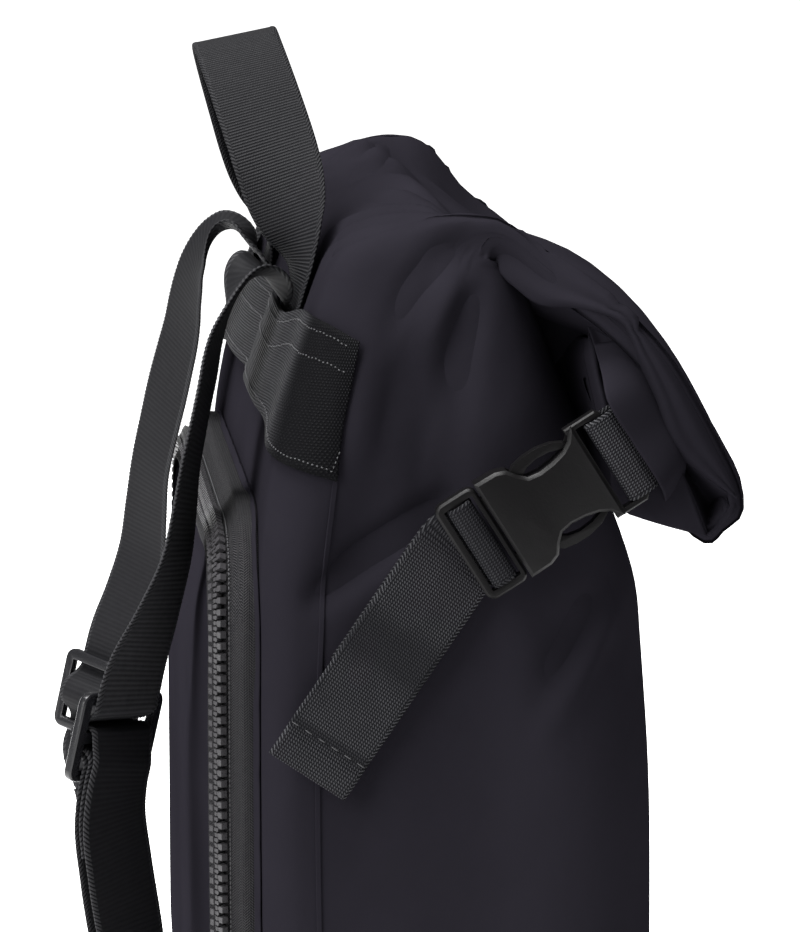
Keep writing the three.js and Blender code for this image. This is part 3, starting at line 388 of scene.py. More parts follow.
def ribbed_webbing(name, sizes, colours):
    """Strap webbing: ribs across, fine yarns in them and a braided edge."""
    def paint(start):
        across, along, inner = cloth_place(start)
        edge, braid = selvage_of(across, sizes.selvage * 0.8, sizes.selvage * 1.1)
        rib = along.wave(sizes.rib_pitch)
        yarn = across.wave(0.62 * MM)
        nub = (along + edge * 0.8).wave(sizes.nub_pitch)
        fleck = start.noise(object_place(start), 420.0, 2.0)
        weave = 0.45 + rib * 0.35 + yarn * 0.2
        height = weave * (1.0 - braid) + nub * braid
        # Painted light and shade: the yarns' crests are painted lit and the grooves between them in shade,
        # the braid's nubs are painted brighter, and the inner face is painted in shade
        lit = (height * (0.7 + fleck * 0.5)).clip(0.15, 1.0)
        lit = lit * (1.0 - inner * 0.75 * (1.0 - braid)) + braid * nub * 1.6
        return lit.blend(solid(colours.groove_shade, 0.7), solid(colours.webbing, 0.8)), 0.62 - braid * 0.12, height
    return finish(name, paint, 0.1 * MM, Specular_IOR_Level=0.07)


def handle_webbing(name, sizes, colours):
    """Handle webbing: close rows across, each of short yarns."""
    def paint(start):
        across, along, inner = cloth_place(start)
        edge, braid = selvage_of(across, sizes.selvage * 0.7, sizes.selvage)
        yarn = (across + along.odd(1.1 * MM) * (0.45 * MM)).wave(0.9 * MM)
        nub = (along + edge).wave(sizes.nub_pitch)
        face = along.wave(1.1 * MM) * (0.65 + yarn * 0.35)
        height = face * (1.0 - braid) + nub * braid
        fleck = start.noise(object_place(start), 300.0, 2.0)
        # Painted light and shade: the rows' crests are painted lit, the grooves between them in shade, and
        # the inner face in shade
        lit = (height * (0.75 + fleck * 0.5)).clip(0.0, 1.0) * (1.0 - inner * 0.75 * (1.0 - braid))
        return lit.blend(solid(colours.groove_shade, 0.7), solid(colours.webbing, 0.65)), 0.58 - face * 0.1, height
    return finish(name, paint, 0.22 * MM, Specular_IOR_Level=0.05)


def band_weave(name, colours):
    """Band webbing: rows of dots on the sides, painted in shade and painted lit toward the sides' ends; level
    ribs across the back.
    """
    def paint(start):
        across, along = cloth_spot(start)
        dot = (across + along.odd(0.95 * MM) * (0.62 * MM)).wave(1.24 * MM)
        lump = along.wave(0.95 * MM) * dot
        rib = along.wave(0.9 * MM)
        reach = across.calc("ABSOLUTE", across)
        back = 1.0 - reach.clip(0.118, 0.128)
        # Painted light and shade: the sides' dots are painted dark as shade and brighter toward the sides'
        # ends, where light falls on them; crests are painted lit and grooves in shade
        painted_light_at_ends = reach.clip(0.142, 0.162)
        height = rib * back + lump * (1.0 - back)
        fleck = start.noise(object_place(start), 300.0, 2.0)
        lit = (lump * (0.7 + fleck * 0.6)).clip(0.6, 0.95) * (0.12 + painted_light_at_ends * 1.9)
        lit = lit * (1.0 - back) + (0.18 + rib * (0.25 + fleck * 0.55)) * back
        return lit.blend(solid(colours.groove_shade, 0.4), solid(colours.webbing, 1.1)), 0.6 - lump * 0.08, height
    return finish(name, paint, 0.2 * MM, Specular_IOR_Level=0.03)


def twill_webbing(name, sizes, colours, painted_shade_bands):
    """Side strap webbing: rows of slanted dashes. The last argument lists places along it where it bends away
    from the light and is painted in shade, with widths and depths."""
    def paint(start):
        across, along, inner = cloth_place(start)
        edge, braid = selvage_of(across, sizes.selvage * 0.4, sizes.selvage * 0.7)
        dash = (across + along * 0.45 + along.odd(1.08 * MM) * (0.5 * MM)).wave(1.0 * MM)
        nub = (along + edge).wave(sizes.nub_pitch)
        face = along.wave(1.08 * MM) * 0.4 + dash * 0.6
        height = face * (1.0 - braid) + nub * braid
        cloud = start.noise(object_place(start), 90.0, 2.0)
        # Painted light and shade: the dashes' crests are painted lit, the grooves in shade, and the inner
        # face in shade
        lit = height.clip(0.4, 1.0) * (0.55 + cloud * 0.8) * (1.0 - inner * 0.4)
        # Painted shade: bands along the webbing where it bends away from the light are darkened
        for at, width, depth in painted_shade_bands:
            off = along.calc("ABSOLUTE", along - at * MM)
            lit = lit * (1.0 - depth * (1.0 - off.clip(width * 0.3 * MM, width * MM)))
        return lit.blend(solid(colours.groove_shade), solid(colours.webbing, 1.6)), 0.55 - face * 0.08, height
    return finish(name, paint, 0.22 * MM, Specular_IOR_Level=0.05)


def zip_knit(name, colours):
    """Zip tape: a herringbone knit with a plain edge."""
    def paint(start):
        across, along, _ = cloth_place(start)
        slant = (across.odd(1.6 * MM) * 2.0 - 1.0) * across
        loop = (along + slant * 0.9).wave(0.95 * MM)
        column = across.wave(0.8 * MM)
        height = loop * 0.7 + column * 0.3
        fleck = start.noise(object_place(start), 500.0, 2.0)
        # Painted light and shade: the knit's loops are painted lit and the grooves between them in shade
        lit = (height * (0.6 + fleck * 0.8)).clip(0.35, 0.8)
        return lit.blend(solid(colours.groove_shade), solid(colours.tape, 0.56)), 0.62 + fleck * 0.1, height
    return finish(name, paint, 0.3 * MM, Specular_IOR_Level=0.05)


def moulded_plastic(name, colour, rough, relief, scuff, gloss):
    """Moulded plastic: fine spark texture and faint scuffs."""
    def paint(start):
        place = object_place(start)
        spark = start.noise(place, 1500.0, 2.0)
        rub = start.noise(place, 60.0, 4.0)
        wear = rub.clip(0.55, 0.75)
        return wear.blend(solid(colour), solid(colour, 1.5)), rough + spark * 0.08 + wear * scuff, spark
    return finish(name, paint, relief, Specular_IOR_Level=gloss)


def sewing_thread(name, colours):
    """Twisted sewing thread."""
    def paint(start):
        twist = start.noise(object_place(start), 900.0, 2.0)
        return twist.blend(solid(colours.thread, 0.6), solid(colours.thread, 1.5)), 0.5 + twist * 0.15, twist
    return finish(name, paint, 0.1 * MM, Specular_IOR_Level=0.2)


def studio_floor(name, colours):
    """Pale floor that is lit from below behind the bag, as a product table is."""
    def paint(start):
        cloud = start.noise(object_place(start), 3.0, 2.0)
        return cloud.blend(solid(colours.floor, 0.99), solid(colours.floor)), 0.8 + cloud * 0.1, cloud
    floor = finish(name, paint, 0.02 * MM, Specular_IOR_Level=0.1, Emission_Strength=1.0)
    start = Wire(floor.node_tree)
    place = object_place(start)
    far = start.node("ShaderNodeSeparateXYZ", {}, {0: place}).clip(-0.6, 0.25)
    glow = far.blend((0.22, 0.22, 0.23, 1.0), (1.0, 1.0, 1.0, 1.0))
    floor.node_tree.links.new(glow.socket, floor.node_tree.nodes["Principled BSDF"].inputs["Emission Color"])
    return floor


def material(name, maker, *details):
    """The named material, made once."""
    return bpy.data.materials.get(name) or maker(name, *details)


def add_piece(name, mesh, finish_material, nodes=()):
    """Puts a finished mesh on the bag's body and hides the solids it stands for."""
    mesh.materials.clear()
    mesh.materials.append(finish_material)
    piece = bpy.data.objects.new(name, mesh)
    bpy.context.scene.collection.objects.link(piece)
    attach(piece, "root")
    if nodes:
        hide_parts(*nodes)
    return piece


def evaluated(holder):
    """The holder's mesh with its modifiers applied; the holder goes."""
    bpy.context.view_layer.update()
    result = bpy.data.meshes.new_from_object(holder.evaluated_get(bpy.context.evaluated_depsgraph_get()))
    bpy.data.objects.remove(holder)
    return result


def baked(mesh, *modifiers):
    """The mesh with modifiers applied: each is a type and its settings."""
    holder = bpy.data.objects.new("holder", mesh)
    bpy.context.scene.collection.objects.link(holder)
    for kind, settings in modifiers:
        added = holder.modifiers.new(kind.lower(), kind)
        for key, value in settings.items():
            setattr(added, key, value)
    return evaluated(holder)


def rounded(rough, levels, sharp=180):
    """The mesh subdivided and still passing close to its own points; edges over sharp degrees stay."""
    step = ("SUBSURF", {"levels": levels, "render_levels": levels})
    form = bmesh.new()
    form.from_mesh(rough)
    keep = [e.calc_face_angle(0.0) > math.radians(sharp) for e in form.edges]
    form.free()
    rough.attributes.new("crease_edge", "FLOAT", "EDGE").data.foreach_set("value", np.array(keep, float))
    aim = points_of(rough)
    hold = aim.copy()
    for _ in range(3):
        hold += 0.9 * (aim - points_of(baked(rough, step))[:len(aim)])
        move_points(rough, hold)
    return baked(rough, step)


def smooth_shaded(mesh):
    """The mesh with every face shaded smooth."""
    mesh.polygons.foreach_set("use_smooth", np.ones(len(mesh.polygons), bool))
    mesh.update()
    return mesh


def node_copy(node):
    """A merged copy of a solid's mesh, for reshaping."""
    copy = bmesh.new()
    copy.from_mesh(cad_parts[node].data)
    bmesh.ops.remove_doubles(copy, verts=copy.verts, dist=2e-6)
    return copy


def as_mesh(copy, name):
    """A mesh from an edited copy, which goes."""
    mesh = bpy.data.meshes.new(name)
    copy.to_mesh(mesh)
    copy.free()
    return mesh


def quad_copy(node):
    """A merged copy of a solid's mesh with its triangles joined in pairs."""
    copy = node_copy(node)
    bmesh.ops.join_triangles(copy, faces=copy.faces, cmp_seam=False, angle_face_threshold=math.radians(50),
                             angle_shape_threshold=math.radians(80))
    return copy


def points_of(mesh, what="co"):
    """A mesh's points, or its normals there, as rows."""
    flat = np.empty(len(mesh.vertices) * 3)
    mesh.vertices.foreach_get(what, flat)
    return flat.reshape(-1, 3)


def move_points(mesh, points):
    """Sets a mesh's points."""
    mesh.vertices.foreach_set("co", points.ravel())
    mesh.update()


def reach_of(line):
    """Distance along a line at each of its points."""
    return np.concatenate([[0], np.cumsum(np.linalg.norm(np.diff(line, axis=0), axis=1))])


def curve_through(knots, count):
    """Points evenly spaced on a smooth curve through the knots."""
    knots = np.asarray(knots, float)
    reach = reach_of(knots)
    return hermite(reach, knots, np.linspace(0, reach[-1], count))


def hermite(at, values, want):
    """Smooth interpolation of rows of values, given at growing stations."""
    step = np.diff(at)[:, None]
    slope = np.diff(values, axis=0) / step
    lean = np.empty_like(values)
    lean[1:-1] = (slope[:-1] * step[1:] + slope[1:] * step[:-1]) / (step[1:] + step[:-1])
    lean[0], lean[-1] = slope[0], slope[-1]
    k = np.clip(np.searchsorted(at, want, side="right") - 1, 0, len(at) - 2)
    h = step[k]
    t = ((want - at[k]) / step[k, 0])[:, None]
    return (values[k] * (1 + 2 * t) * (1 - t) ** 2 + lean[k] * h * t * (1 - t) ** 2
            + values[k + 1] * t * t * (3 - 2 * t) + lean[k + 1] * h * t * t * (t - 1))


def unit(vectors):
    """Vectors made one long."""
    return vectors / np.maximum(np.linalg.norm(vectors, axis=-1, keepdims=True), 1e-12)


def sections(copy, lead):
    """The four corners of each section of a ribbon's solid, walked from an end, which has four neighbours.
    They are counted in the direction of lead, so that every run gives the same order."""
    for edge in copy.edges:
        layer, seen, found = {corner for face in edge.link_faces for corner in face.verts}, set(), []
        while layer:
            found.append(sorted((np.array(corner.co) for corner in layer), key=lambda c: (c @ lead, *c)))
            seen |= layer
            layer = {e.other_vert(c) for c in layer for e in c.link_edges} - seen
            if len(layer) not in (0, 4):
                break
        if len(seen) == len(copy.verts) and all(len(corners) == 4 for corners in found):
            return found
    raise RuntimeError("the ribbon's sections were not found")


def read_ribbon(node, start, face, lead=(1, 0, 0)):
    """Centre line, width and thickness of a ribbon's solid, read from its mesh. start is a point near its
    first end, face a direction that its outer face looks in where it begins, and lead the direction in
    which its corners are counted."""
    copy = node_copy(node)
    layers = sections(copy, np.array(lead, float))
    copy.free()
    rows = [sorted(layers[0], key=lambda corner: np.linalg.norm(corner - layers[0][0]))]
    for corners in layers[1:]:
        rows.append(min(itertools.permutations(corners), key=lambda row: sum(
            np.linalg.norm(corner - before) for corner, before in zip(row, rows[-1]))))
    rows = np.array(rows)
    first, last = np.linalg.norm(rows[[0, -1]].mean(1) - np.array(start) * MM, axis=1)
    if last < first:
        rows = rows[::-1]
    top, low = rows[:, [0, 2]], rows[:, [1, 3]]
    return {"p": rows.mean(1), "w": (rows[:, 2] + rows[:, 3] - rows[:, 0] - rows[:, 1]) / 2,
            "t": np.linalg.norm(top - low, axis=2).mean(1), "face": np.array(face)}


def soften(rows, passes):
    """Rows averaged with their neighbours, ends kept."""
    for _ in range(passes):
        rows = np.concatenate([rows[:1], (rows[:-2] + 2 * rows[1:-1] + rows[2:]) / 4, rows[-1:]])
    return rows


def finer(ribbon, step, reach_soft=0.0, square=True):
    """The ribbon with many more rows, on smooth curves through its own; its turns are evened over reach_soft.
    Its width is set square to its length unless it slants."""
    reach = reach_of(ribbon["p"])
    want = np.linspace(0, reach[-1], max(4, int(reach[-1] / step) + 1))
    line = hermite(reach, ribbon["p"], want)
    along = unit(np.gradient(line, axis=0))
    width = soften(hermite(reach, ribbon["w"], want), int(2 * (reach_soft / step) ** 2))
    half = np.interp(want, reach, np.linalg.norm(ribbon["w"], axis=1)) / 2
    across = unit(width - along * np.sum(width * along, axis=1, keepdims=True) * square)
    up = unit(np.cross(along, across))
    if up[0] @ ribbon["face"] < 0:
        up = -up
    return {"p": line, "w": across, "n": up, "half": half, "t": np.interp(want, reach, ribbon["t"]),
            "s": reach_of(line)}


def slab_mesh(name, top, low, metre, s):
    """A closed band between an outer and an inner grid of points. Its UV map gives metres across and along,
    moved by 0.1 on the inner face."""
    ring = np.concatenate([top, low[:, ::-1]], axis=1)
    rows, count = ring.shape[:2]
    wide = top.shape[1]
    cloth = np.concatenate([metre, 0.1 + metre[:, ::-1]], axis=1)
    faces, uvs = [], []
    for k in range(count):
        nxt = (k + 1) % count
        a = np.arange(rows - 1) * count
        faces.append(np.stack([a + k, a + nxt, a + count + nxt, a + count + k], axis=1))
        left, right = cloth[:, k], (cloth[:, k] if k in (wide - 1, count - 1) else cloth[:, nxt])
        uvs.append(np.stack([np.stack([left[:-1], s[:-1]], 1), np.stack([right[:-1], s[:-1]], 1),
                             np.stack([right[1:], s[1:]], 1), np.stack([left[1:], s[1:]], 1)], axis=1))
    for row in (0, rows - 1):
        for k in range(wide - 1):
            a, b, c, d = k, k + 1, count - 2 - k, count - 1 - k
            quad = np.array([[a, d, c, b]]) if row == 0 else np.array([[a, b, c, d]])
            faces.append(quad + row * count)
            uvs.append(np.stack([np.resize(cloth[row, [a, b]], 4), np.full(4, s[row])], axis=1)[None])
    faces, uvs = np.concatenate(faces), np.concatenate(uvs)
    mesh = bpy.data.meshes.new(name)
    mesh.from_pydata(ring.reshape(-1, 3).tolist(), [], faces.tolist())
    layer = mesh.uv_layers.new(name="cloth")
    layer.data.foreach_set("uv", uvs.reshape(-1))
    fix = bmesh.new()
    fix.from_mesh(mesh)
    bmesh.ops.recalc_face_normals(fix, faces=fix.faces)
    fix.to_mesh(mesh)
    fix.free()
    return smooth_shaded(mesh)


def sheet_mesh(name, grid, thick):
    """A thin closed sheet of cloth on a grid of points."""
    normal = unit(np.cross(np.gradient(grid, axis=0), np.gradient(grid, axis=1)))
    metre = np.stack([reach_of(row) for row in grid])
    return slab_mesh(name, grid + normal * thick / 2, grid - normal * thick / 2, metre, reach_of(grid[:, 0]))


def ribbon_mesh(name, rib, columns, relief):
    """A closed band of cloth on a fine ribbon, with rounded edges. relief(u, s, half) lifts its faces; u is
    -1 to 1 across."""
    u = np.asarray(columns)
    body = np.interp(np.abs(u), [0, 0.9, 0.96, 1.0], [1, 1, 0.86, 0.3])
    outer, inner = relief(u[None, :], rib["s"][:, None], rib["half"][:, None])
    flat = rib["p"][:, None] + rib["w"][:, None] * (u[None, :, None] * rib["half"][:, None, None])
    lift = rib["t"][:, None] * 0.5 * body[None, :]
    top = flat + rib["n"][:, None] * (lift + outer)[..., None]
    low = flat - rib["n"][:, None] * (lift + inner)[..., None]
    return slab_mesh(name, top, low, (u[None, :] + 1) * rib["half"][:, None], rib["s"])


def edge_columns(middle):
    """Places across a ribbon, closer together at its edges."""
    outer = np.array([0.82, 0.87, 0.905, 0.94, 0.97, 0.99, 1.0])
    return np.concatenate([-outer[::-1], np.linspace(-0.74, 0.74, middle), outer])


def webbing_relief(sizes, ribs):
    """Ribs across the webbing and nubs on its braided edges."""
    def relief(u, s, half):
        edge = (1 - np.abs(u)) * half
        braid = 1 - np.clip((edge - sizes.selvage * 0.8) / (sizes.selvage * 0.3), 0, 1)
        rib = sizes.rib_height * ribs * np.cos(2 * math.pi * s / sizes.rib_pitch) * (1 - braid)
        nub = np.cos(2 * math.pi * (s + edge * 0.8) / sizes.nub_pitch) * (edge > 0.05 * MM)
        nub = 0.22 * MM * braid * nub
        return rib + nub, rib * 0.6 + nub
    return relief


def plain_relief(u, s, half):
    """No relief."""
    return 0.0 * s * u, 0.0 * s * u


def tree_of(name, inputs):
    """An empty Geometry Nodes tree with named inputs, and a function that adds a node to it."""
    tree = bpy.data.node_groups.new(name, "GeometryNodeTree")
    tree.interface.new_socket(name="Geometry", in_out="INPUT", socket_type="NodeSocketGeometry")
    for key, kind in inputs:
        tree.interface.new_socket(name=key, in_out="INPUT", socket_type=kind)
    tree.interface.new_socket(name="Geometry", in_out="OUTPUT", socket_type="NodeSocketGeometry")
    return tree, functools.partial(new_node, tree)


def along_path(add, given, spacing):
    """Nodes that set points along the drawn lines, with a turn that lays X along the line and Z on its up."""
    line = add("GeometryNodeMeshToCurve", {}, {"Mesh": given.outputs["Geometry"]})
    even = add("GeometryNodeResampleCurve", {"mode": "LENGTH"}, {"Curve": line.outputs[0], "Length": spacing})
    tangent = add("GeometryNodeInputTangent", {}, {})
    up = add("GeometryNodeInputNamedAttribute", {"data_type": "FLOAT_VECTOR"}, {"Name": "up"})
    first = add("FunctionNodeAlignRotationToVector", {"axis": "X"}, {"Vector": tangent.outputs[0]})
    turn = add("FunctionNodeAlignRotationToVector", {"axis": "Z", "pivot_axis": "X"},
               {"Rotation": first.outputs[0], "Vector": up.outputs[0]})
    return even.outputs[0], turn.outputs[0]


def close_tree(add, given, instances, smooth):
    """Ends a tree: real geometry, smooth shading where it is wanted, and the material."""
    form = add("GeometryNodeRealizeInstances", {}, {"Geometry": instances})
    if smooth:
        form = add("GeometryNodeSetShadeSmooth", {}, {"Geometry": form.outputs[0]})
    coat = add("GeometryNodeSetMaterial", {}, {"Geometry": form.outputs[0],
                                               "Material": given.outputs["Material"]})
    add("NodeGroupOutput", {}, {"Geometry": coat.outputs[0]})


def stitch_tree():
    """Stitches laid end to end along drawn lines."""
    tree, add = tree_of("stitches", [("Gap", "NodeSocketFloat"), ("Length", "NodeSocketFloat"),
                                     ("Thread", "NodeSocketFloat"), ("Material", "NodeSocketMaterial")])
    given = add("NodeGroupInput", {}, {})
    points, turn = along_path(add, given, given.outputs["Gap"])
    bead = add("GeometryNodeMeshUVSphere", {}, {"Segments": 6, "Rings": 5, "Radius": 0.5})
    shape = add("ShaderNodeCombineXYZ", {}, {0: given.outputs["Length"], 1: given.outputs["Thread"],
                                            2: given.outputs["Thread"]})
    stitch = add("GeometryNodeTransform", {}, {"Geometry": bead.outputs[0], "Scale": shape.outputs[0]})
    laid = add("GeometryNodeInstanceOnPoints", {}, {"Points": points, "Instance": stitch.outputs[0],
                                                    "Rotation": turn})
    close_tree(add, given, laid.outputs[0], True)
    return tree


def tooth_tree():
    """One side of a zip: moulded teeth along a line, each a tapered block, a neck and a rounded head."""
    tree, add = tree_of("zip_teeth", [("Pitch", "NodeSocketFloat"), ("Start", "NodeSocketFloat"),
                                      ("Turn", "NodeSocketFloat"), ("Material", "NodeSocketMaterial")])
    given = add("NodeGroupInput", {}, {})
    points, turn = along_path(add, given, given.outputs["Pitch"])
    join = add("GeometryNodeJoinGeometry", {}, {})
    for corners, taper, (along, across, tall), middle, angle in TOOTH_BLOCKS:
        form = add("GeometryNodeMeshCone", {}, {"Vertices": corners, "Side Segments": 1, "Fill Segments": 1,
                                                "Radius Top": taper, "Radius Bottom": 1.0, "Depth": 1.0})
        square = add("GeometryNodeTransform", {}, {"Geometry": form.outputs[0],
                                                   "Rotation": (0.0, 0.0, math.radians(angle))})
        placed = add("GeometryNodeTransform", {}, {"Geometry": square.outputs[0],
                                                   "Translation": (0.0, middle * MM, -0.2 * MM),
                                                   "Scale": (along * MM, across * MM, tall * MM)})
        tree.links.new(placed.outputs[0], join.inputs[0])
    angle = add("ShaderNodeCombineXYZ", {}, {2: given.outputs["Turn"]})
    faced = add("GeometryNodeTransform", {}, {"Geometry": join.outputs[0], "Rotation": angle.outputs[0]})
    laid = add("GeometryNodeInstanceOnPoints", {}, {"Points": points, "Instance": faced.outputs[0],
                                                    "Rotation": turn})
    shift = add("ShaderNodeCombineXYZ", {}, {0: given.outputs["Start"]})
    moved = add("GeometryNodeTranslateInstances", {}, {"Instances": laid.outputs[0],
                                                       "Translation": shift.outputs[0]})
    close_tree(add, given, moved.outputs[0], False)
    return tree


def grown(name, tree, lines, **values):
    """A plain mesh grown by a tree on drawn lines; each line is its points and its up vectors."""
    points, ups, edges = [], [], []
    for line, up in lines:
        edges += [(len(points) + k, len(points) + k + 1) for k in range(len(line) - 1)]
        points += [tuple(p) for p in line]
        ups += [tuple(v) for v in up]
    mesh = bpy.data.meshes.new(name)
    mesh.from_pydata(points, edges, [])
    field = mesh.attributes.new("up", "FLOAT_VECTOR", "POINT")
    field.data.foreach_set("vector", np.array(ups, float).ravel())
    holder = bpy.data.objects.new(name, mesh)
    added = holder.modifiers.new("grow", "NODES")
    added.node_group = tree
    for item in tree.interface.items_tree:
        if item.in_out == "INPUT" and item.name in values:
            added[item.identifier] = values[item.name]
    bpy.context.scene.collection.objects.link(holder)
    result = evaluated(holder)
    if not len(result.polygons):
        raise RuntimeError("nothing grew on " + name)
    return result


def stitches(name, lines, gap=1.0, length=1.0):
    """Adds rows of stitches as one piece."""
    sizes = bpy.context.scene.bag_sizes
    thread = material("sewing_thread", sewing_thread, bpy.context.scene.bag_colours)
    tree = bpy.data.node_groups.get("stitches") or stitch_tree()
    mesh = grown(name, tree, lines, Gap=sizes.stitch_gap * gap, Length=sizes.stitch_length * length,
                 Thread=sizes.thread, Material=thread)
    return add_piece(name, mesh, thread)


def across_row(rib, at, side=1.0):
    """A line across a ribbon's outer face, or its inner one, at a distance from its start, and its ups."""
    k = int(np.searchsorted(rib["s"], at))
    up = rib["n"][k] * side
    u = np.linspace(-0.86, 0.86, 24)[:, None] * rib["half"][k]
    return rib["p"][k] + rib["w"][k] * u + up * (rib["t"][k] / 2 + 0.1 * MM), np.repeat(up[None], 24, 0)


def add_webbing(name, node, ends, step, weave, middle, ribs=0.0, soft=0.0, square=True):
    """Adds a ribbon of webbing in a solid's place, and gives its fine ribbon; ends says how it is read."""
    ribbon = finer(read_ribbon(node, *ends), step, soft, square)
    relief = webbing_relief(bpy.context.scene.bag_sizes, ribs)
    add_piece(name, ribbon_mesh(node, ribbon, edge_columns(middle), relief), weave, [node])
    return ribbon


def tree_over(piece):
    """A search tree over a finished piece's faces."""
    return BVHTree.FromPolygons([tuple(v.co) for v in piece.data.vertices],
                                [tuple(f.vertices) for f in piece.data.polygons])


def laid_on(cover, starts, towards, lift):
    """Points cast onto a cover along one direction each, lifted off it, and its normals there."""
    points, ups = [], []
    for start, way in zip(starts, towards):
        spot, normal, _, _ = cover.ray_cast(Vector(start), Vector(way))
        if spot is None:
            continue
        if normal.dot(Vector(way)) > 0:
            normal = -normal
        points.append(np.array(spot + normal * lift))
        ups.append(np.array(normal))
    return np.array(points), np.array(ups)


def press_folds(points, normals, folds, scale):
    """Presses folds into a surface along its normals; each fold fades to its ends."""
    shift = np.zeros(len(points))
    for press, width, drawn in folds:
        line = curve_through(np.array(drawn, float) * MM, FOLD_POINTS)
        reach = width * MM
        box = np.all((points > line.min(0) - 3 * reach) & (points < line.max(0) + 3 * reach), axis=1)
        near = np.nonzero(box)[0]
        if not len(near):
            continue
        apart = np.linalg.norm(points[near, None] - line[None], axis=2)
        nearest = apart.argmin(1)
        fade = np.sin(math.pi * (0.06 + 0.88 * nearest / (FOLD_POINTS - 1))) ** 0.7
        shift[near] -= press * MM * scale * fade * np.exp(-(apart.min(1) / reach) ** 2)
    return points + normals * shift[:, None]


def folds_on(sign):
    """The folds of one side panel, and those across the top that are drawn for that side."""
    side = [(press, width, [(sign * SIDE_PLANE, y, z) for y, z in line]) for press, width, line in SIDE_FOLDS]
    top = [(press, width, [(-sign * x, y, z) for x, y, z in line]) for press, width, line in TOP_FOLDS]
    return side, top


def ease(value):
    """0 up to 0, 1 from 1 on, smooth between."""
    value = np.clip(value, 0, 1)
    return value * value * (3 - 2 * value)


def settled(points):
    """The body's points with the roll's middle sunk, its tuck drawn in at the ends and its lower corners
    sharpened."""
    x, y, z = np.abs(points[:, 0]) / MM, points[:, 1] / MM, points[:, 2] / MM
    bow = np.interp(z, HOOD_BACK[:, 0], HOOD_BACK[:, 2]) * np.clip(1 - (x / 145) ** 2, 0, 1)
    edge = np.interp(z, HOOD_BACK[:, 0], HOOD_BACK[:, 1]) - bow
    hood = np.clip((edge - y) / 3 + 0.5, 0, 1) * (z > 296)
    middle = ease((142 - x) / 34)
    sink = np.interp(y, HOOD_SINK[:, 0], HOOD_SINK[:, 1]) * middle
    sink = sink + 2.5 * np.exp(-((y + 34) / 12) ** 2) * (1 - middle)
    lean = np.interp(y, HOOD_SINK[:, 0], HOOD_SINK[:, 2])
    tuck = (y > edge) & (y < (z - 316) * 0.42 - 60) & (z > 312) & (z < 362)
    end = ease((x - 95) / 30)
    nose = np.exp(-((y + 96) / 6) ** 2 - ((z - 303) / 6) ** 2) * end
    lift = 5 * np.exp(-((y + 77) / 6.5) ** 2) * ease((318 - z) / 8) * end * (z > 296)
    corner = np.vstack([ROLL_HOLLOW.T, np.ones(3)])
    within = np.linalg.solve(corner, np.stack([y, z, np.ones(len(y))])).min(axis=0)
    drawn = 17 * tuck * ease((z - 314) / 14) * ease((x - 100) / 40)
    x = x - drawn - 11 * ease(within / 0.1) * ease((x - 120) / 15)
    moved = np.stack([np.sign(points[:, 0]) * x, y + hood * sink * lean + 3 * nose,
                      z - hood * sink * np.sqrt(1 - lean ** 2) + lift + 2 * nose], axis=1)
    return lowered(moved * MM)


def lowered(points):
    """Points with the right end of the roll let down a little."""
    x, y, z = points[:, 0] / MM, points[:, 1] / MM, points[:, 2] / MM
    drop = ease((x - 20) / 90) * ease((-26 - y) / 18) * ease((z - 352) / 30) * 8 * MM
    return points - drop[:, None] * (0, 0, 1)


def finer_near(mesh, lines, reach):
    """The mesh with its faces divided once more near drawn lines."""
    spots = [p for line in lines for p in curve_through(np.array(line, float) * MM, 40)]
    search = KDTree(len(spots))
    for k, spot in enumerate(spots):
        search.insert(spot, k)
    search.balance()
    form = bmesh.new()
    form.from_mesh(mesh)
    close = [e for e in form.edges if e.calc_length() > 2.0 * MM
             and search.find((e.verts[0].co + e.verts[1].co) / 2)[2] < reach]
    bmesh.ops.subdivide_edges(form, edges=close, cuts=1, smooth=1.0, use_grid_fill=True)
    return smooth_shaded(as_mesh(form, mesh.name))


def add_side_seam(name, sign, cover, fabric):
    """Adds the narrow sewn edge between a side panel and the gusset."""
    line = curve_through([(sign * 200 * MM, y * MM, z * MM) for y, z in SIDE_SEAM], 200)
    spots, ups = laid_on(cover, line, [(-sign, 0, 0)] * len(line), 0.15 * MM)
    along = unit(np.gradient(spots, axis=0))
    thick = np.full(len(spots), 0.9 * MM)
    strip = {"p": spots, "w": unit(np.cross(ups, along)), "n": ups, "half": thick, "t": thick,
             "s": reach_of(spots)}
    seam = ribbon_mesh("side_seam_" + name, strip, [-1, -0.9, -0.6, -0.2, 0.2, 0.6, 0.9, 1], plain_relief)
    add_piece("side_seam_" + name, seam, fabric)


def add_roll_end(name, sign, cover, fabric):
    """Adds the sheets of cloth that close one end of the roll."""
    part = np.linspace(0, 1, SHEET_COLUMNS)
    cloth = bmesh.new()
    for sheet in ROLL_END:
        one, two = (lowered(curve_through(np.array(sheet[edge], float) * (sign * MM, MM, MM), SHEET_ROWS))
                    for edge in ("from", "to"))
        rise = 1.0
        if sheet.get("sewn"):
            found = [cover.find_nearest(Vector(spot))[:2] for spot in one]
            one = np.array([spot - normal * (0.5 * MM) for spot, normal in found])
            rise = ease(np.arange(SHEET_ROWS) / SEWN_ROWS)[:, None]
        bulge = np.array(sheet["bulge"], float)
        grid = one[:, None] + (two - one)[:, None] * part[None, :, None]
        grid[..., 0] += sign * rise * hermite(bulge[:, 0], bulge[:, 1:], part)[None, :, 0] * MM
        cloth.from_mesh(sheet_mesh("roll_end_" + name, grid, SHEET_THICK))
    add_piece("roll_end_" + name, smooth_shaded(as_mesh(cloth, "roll_end_" + name)), fabric)


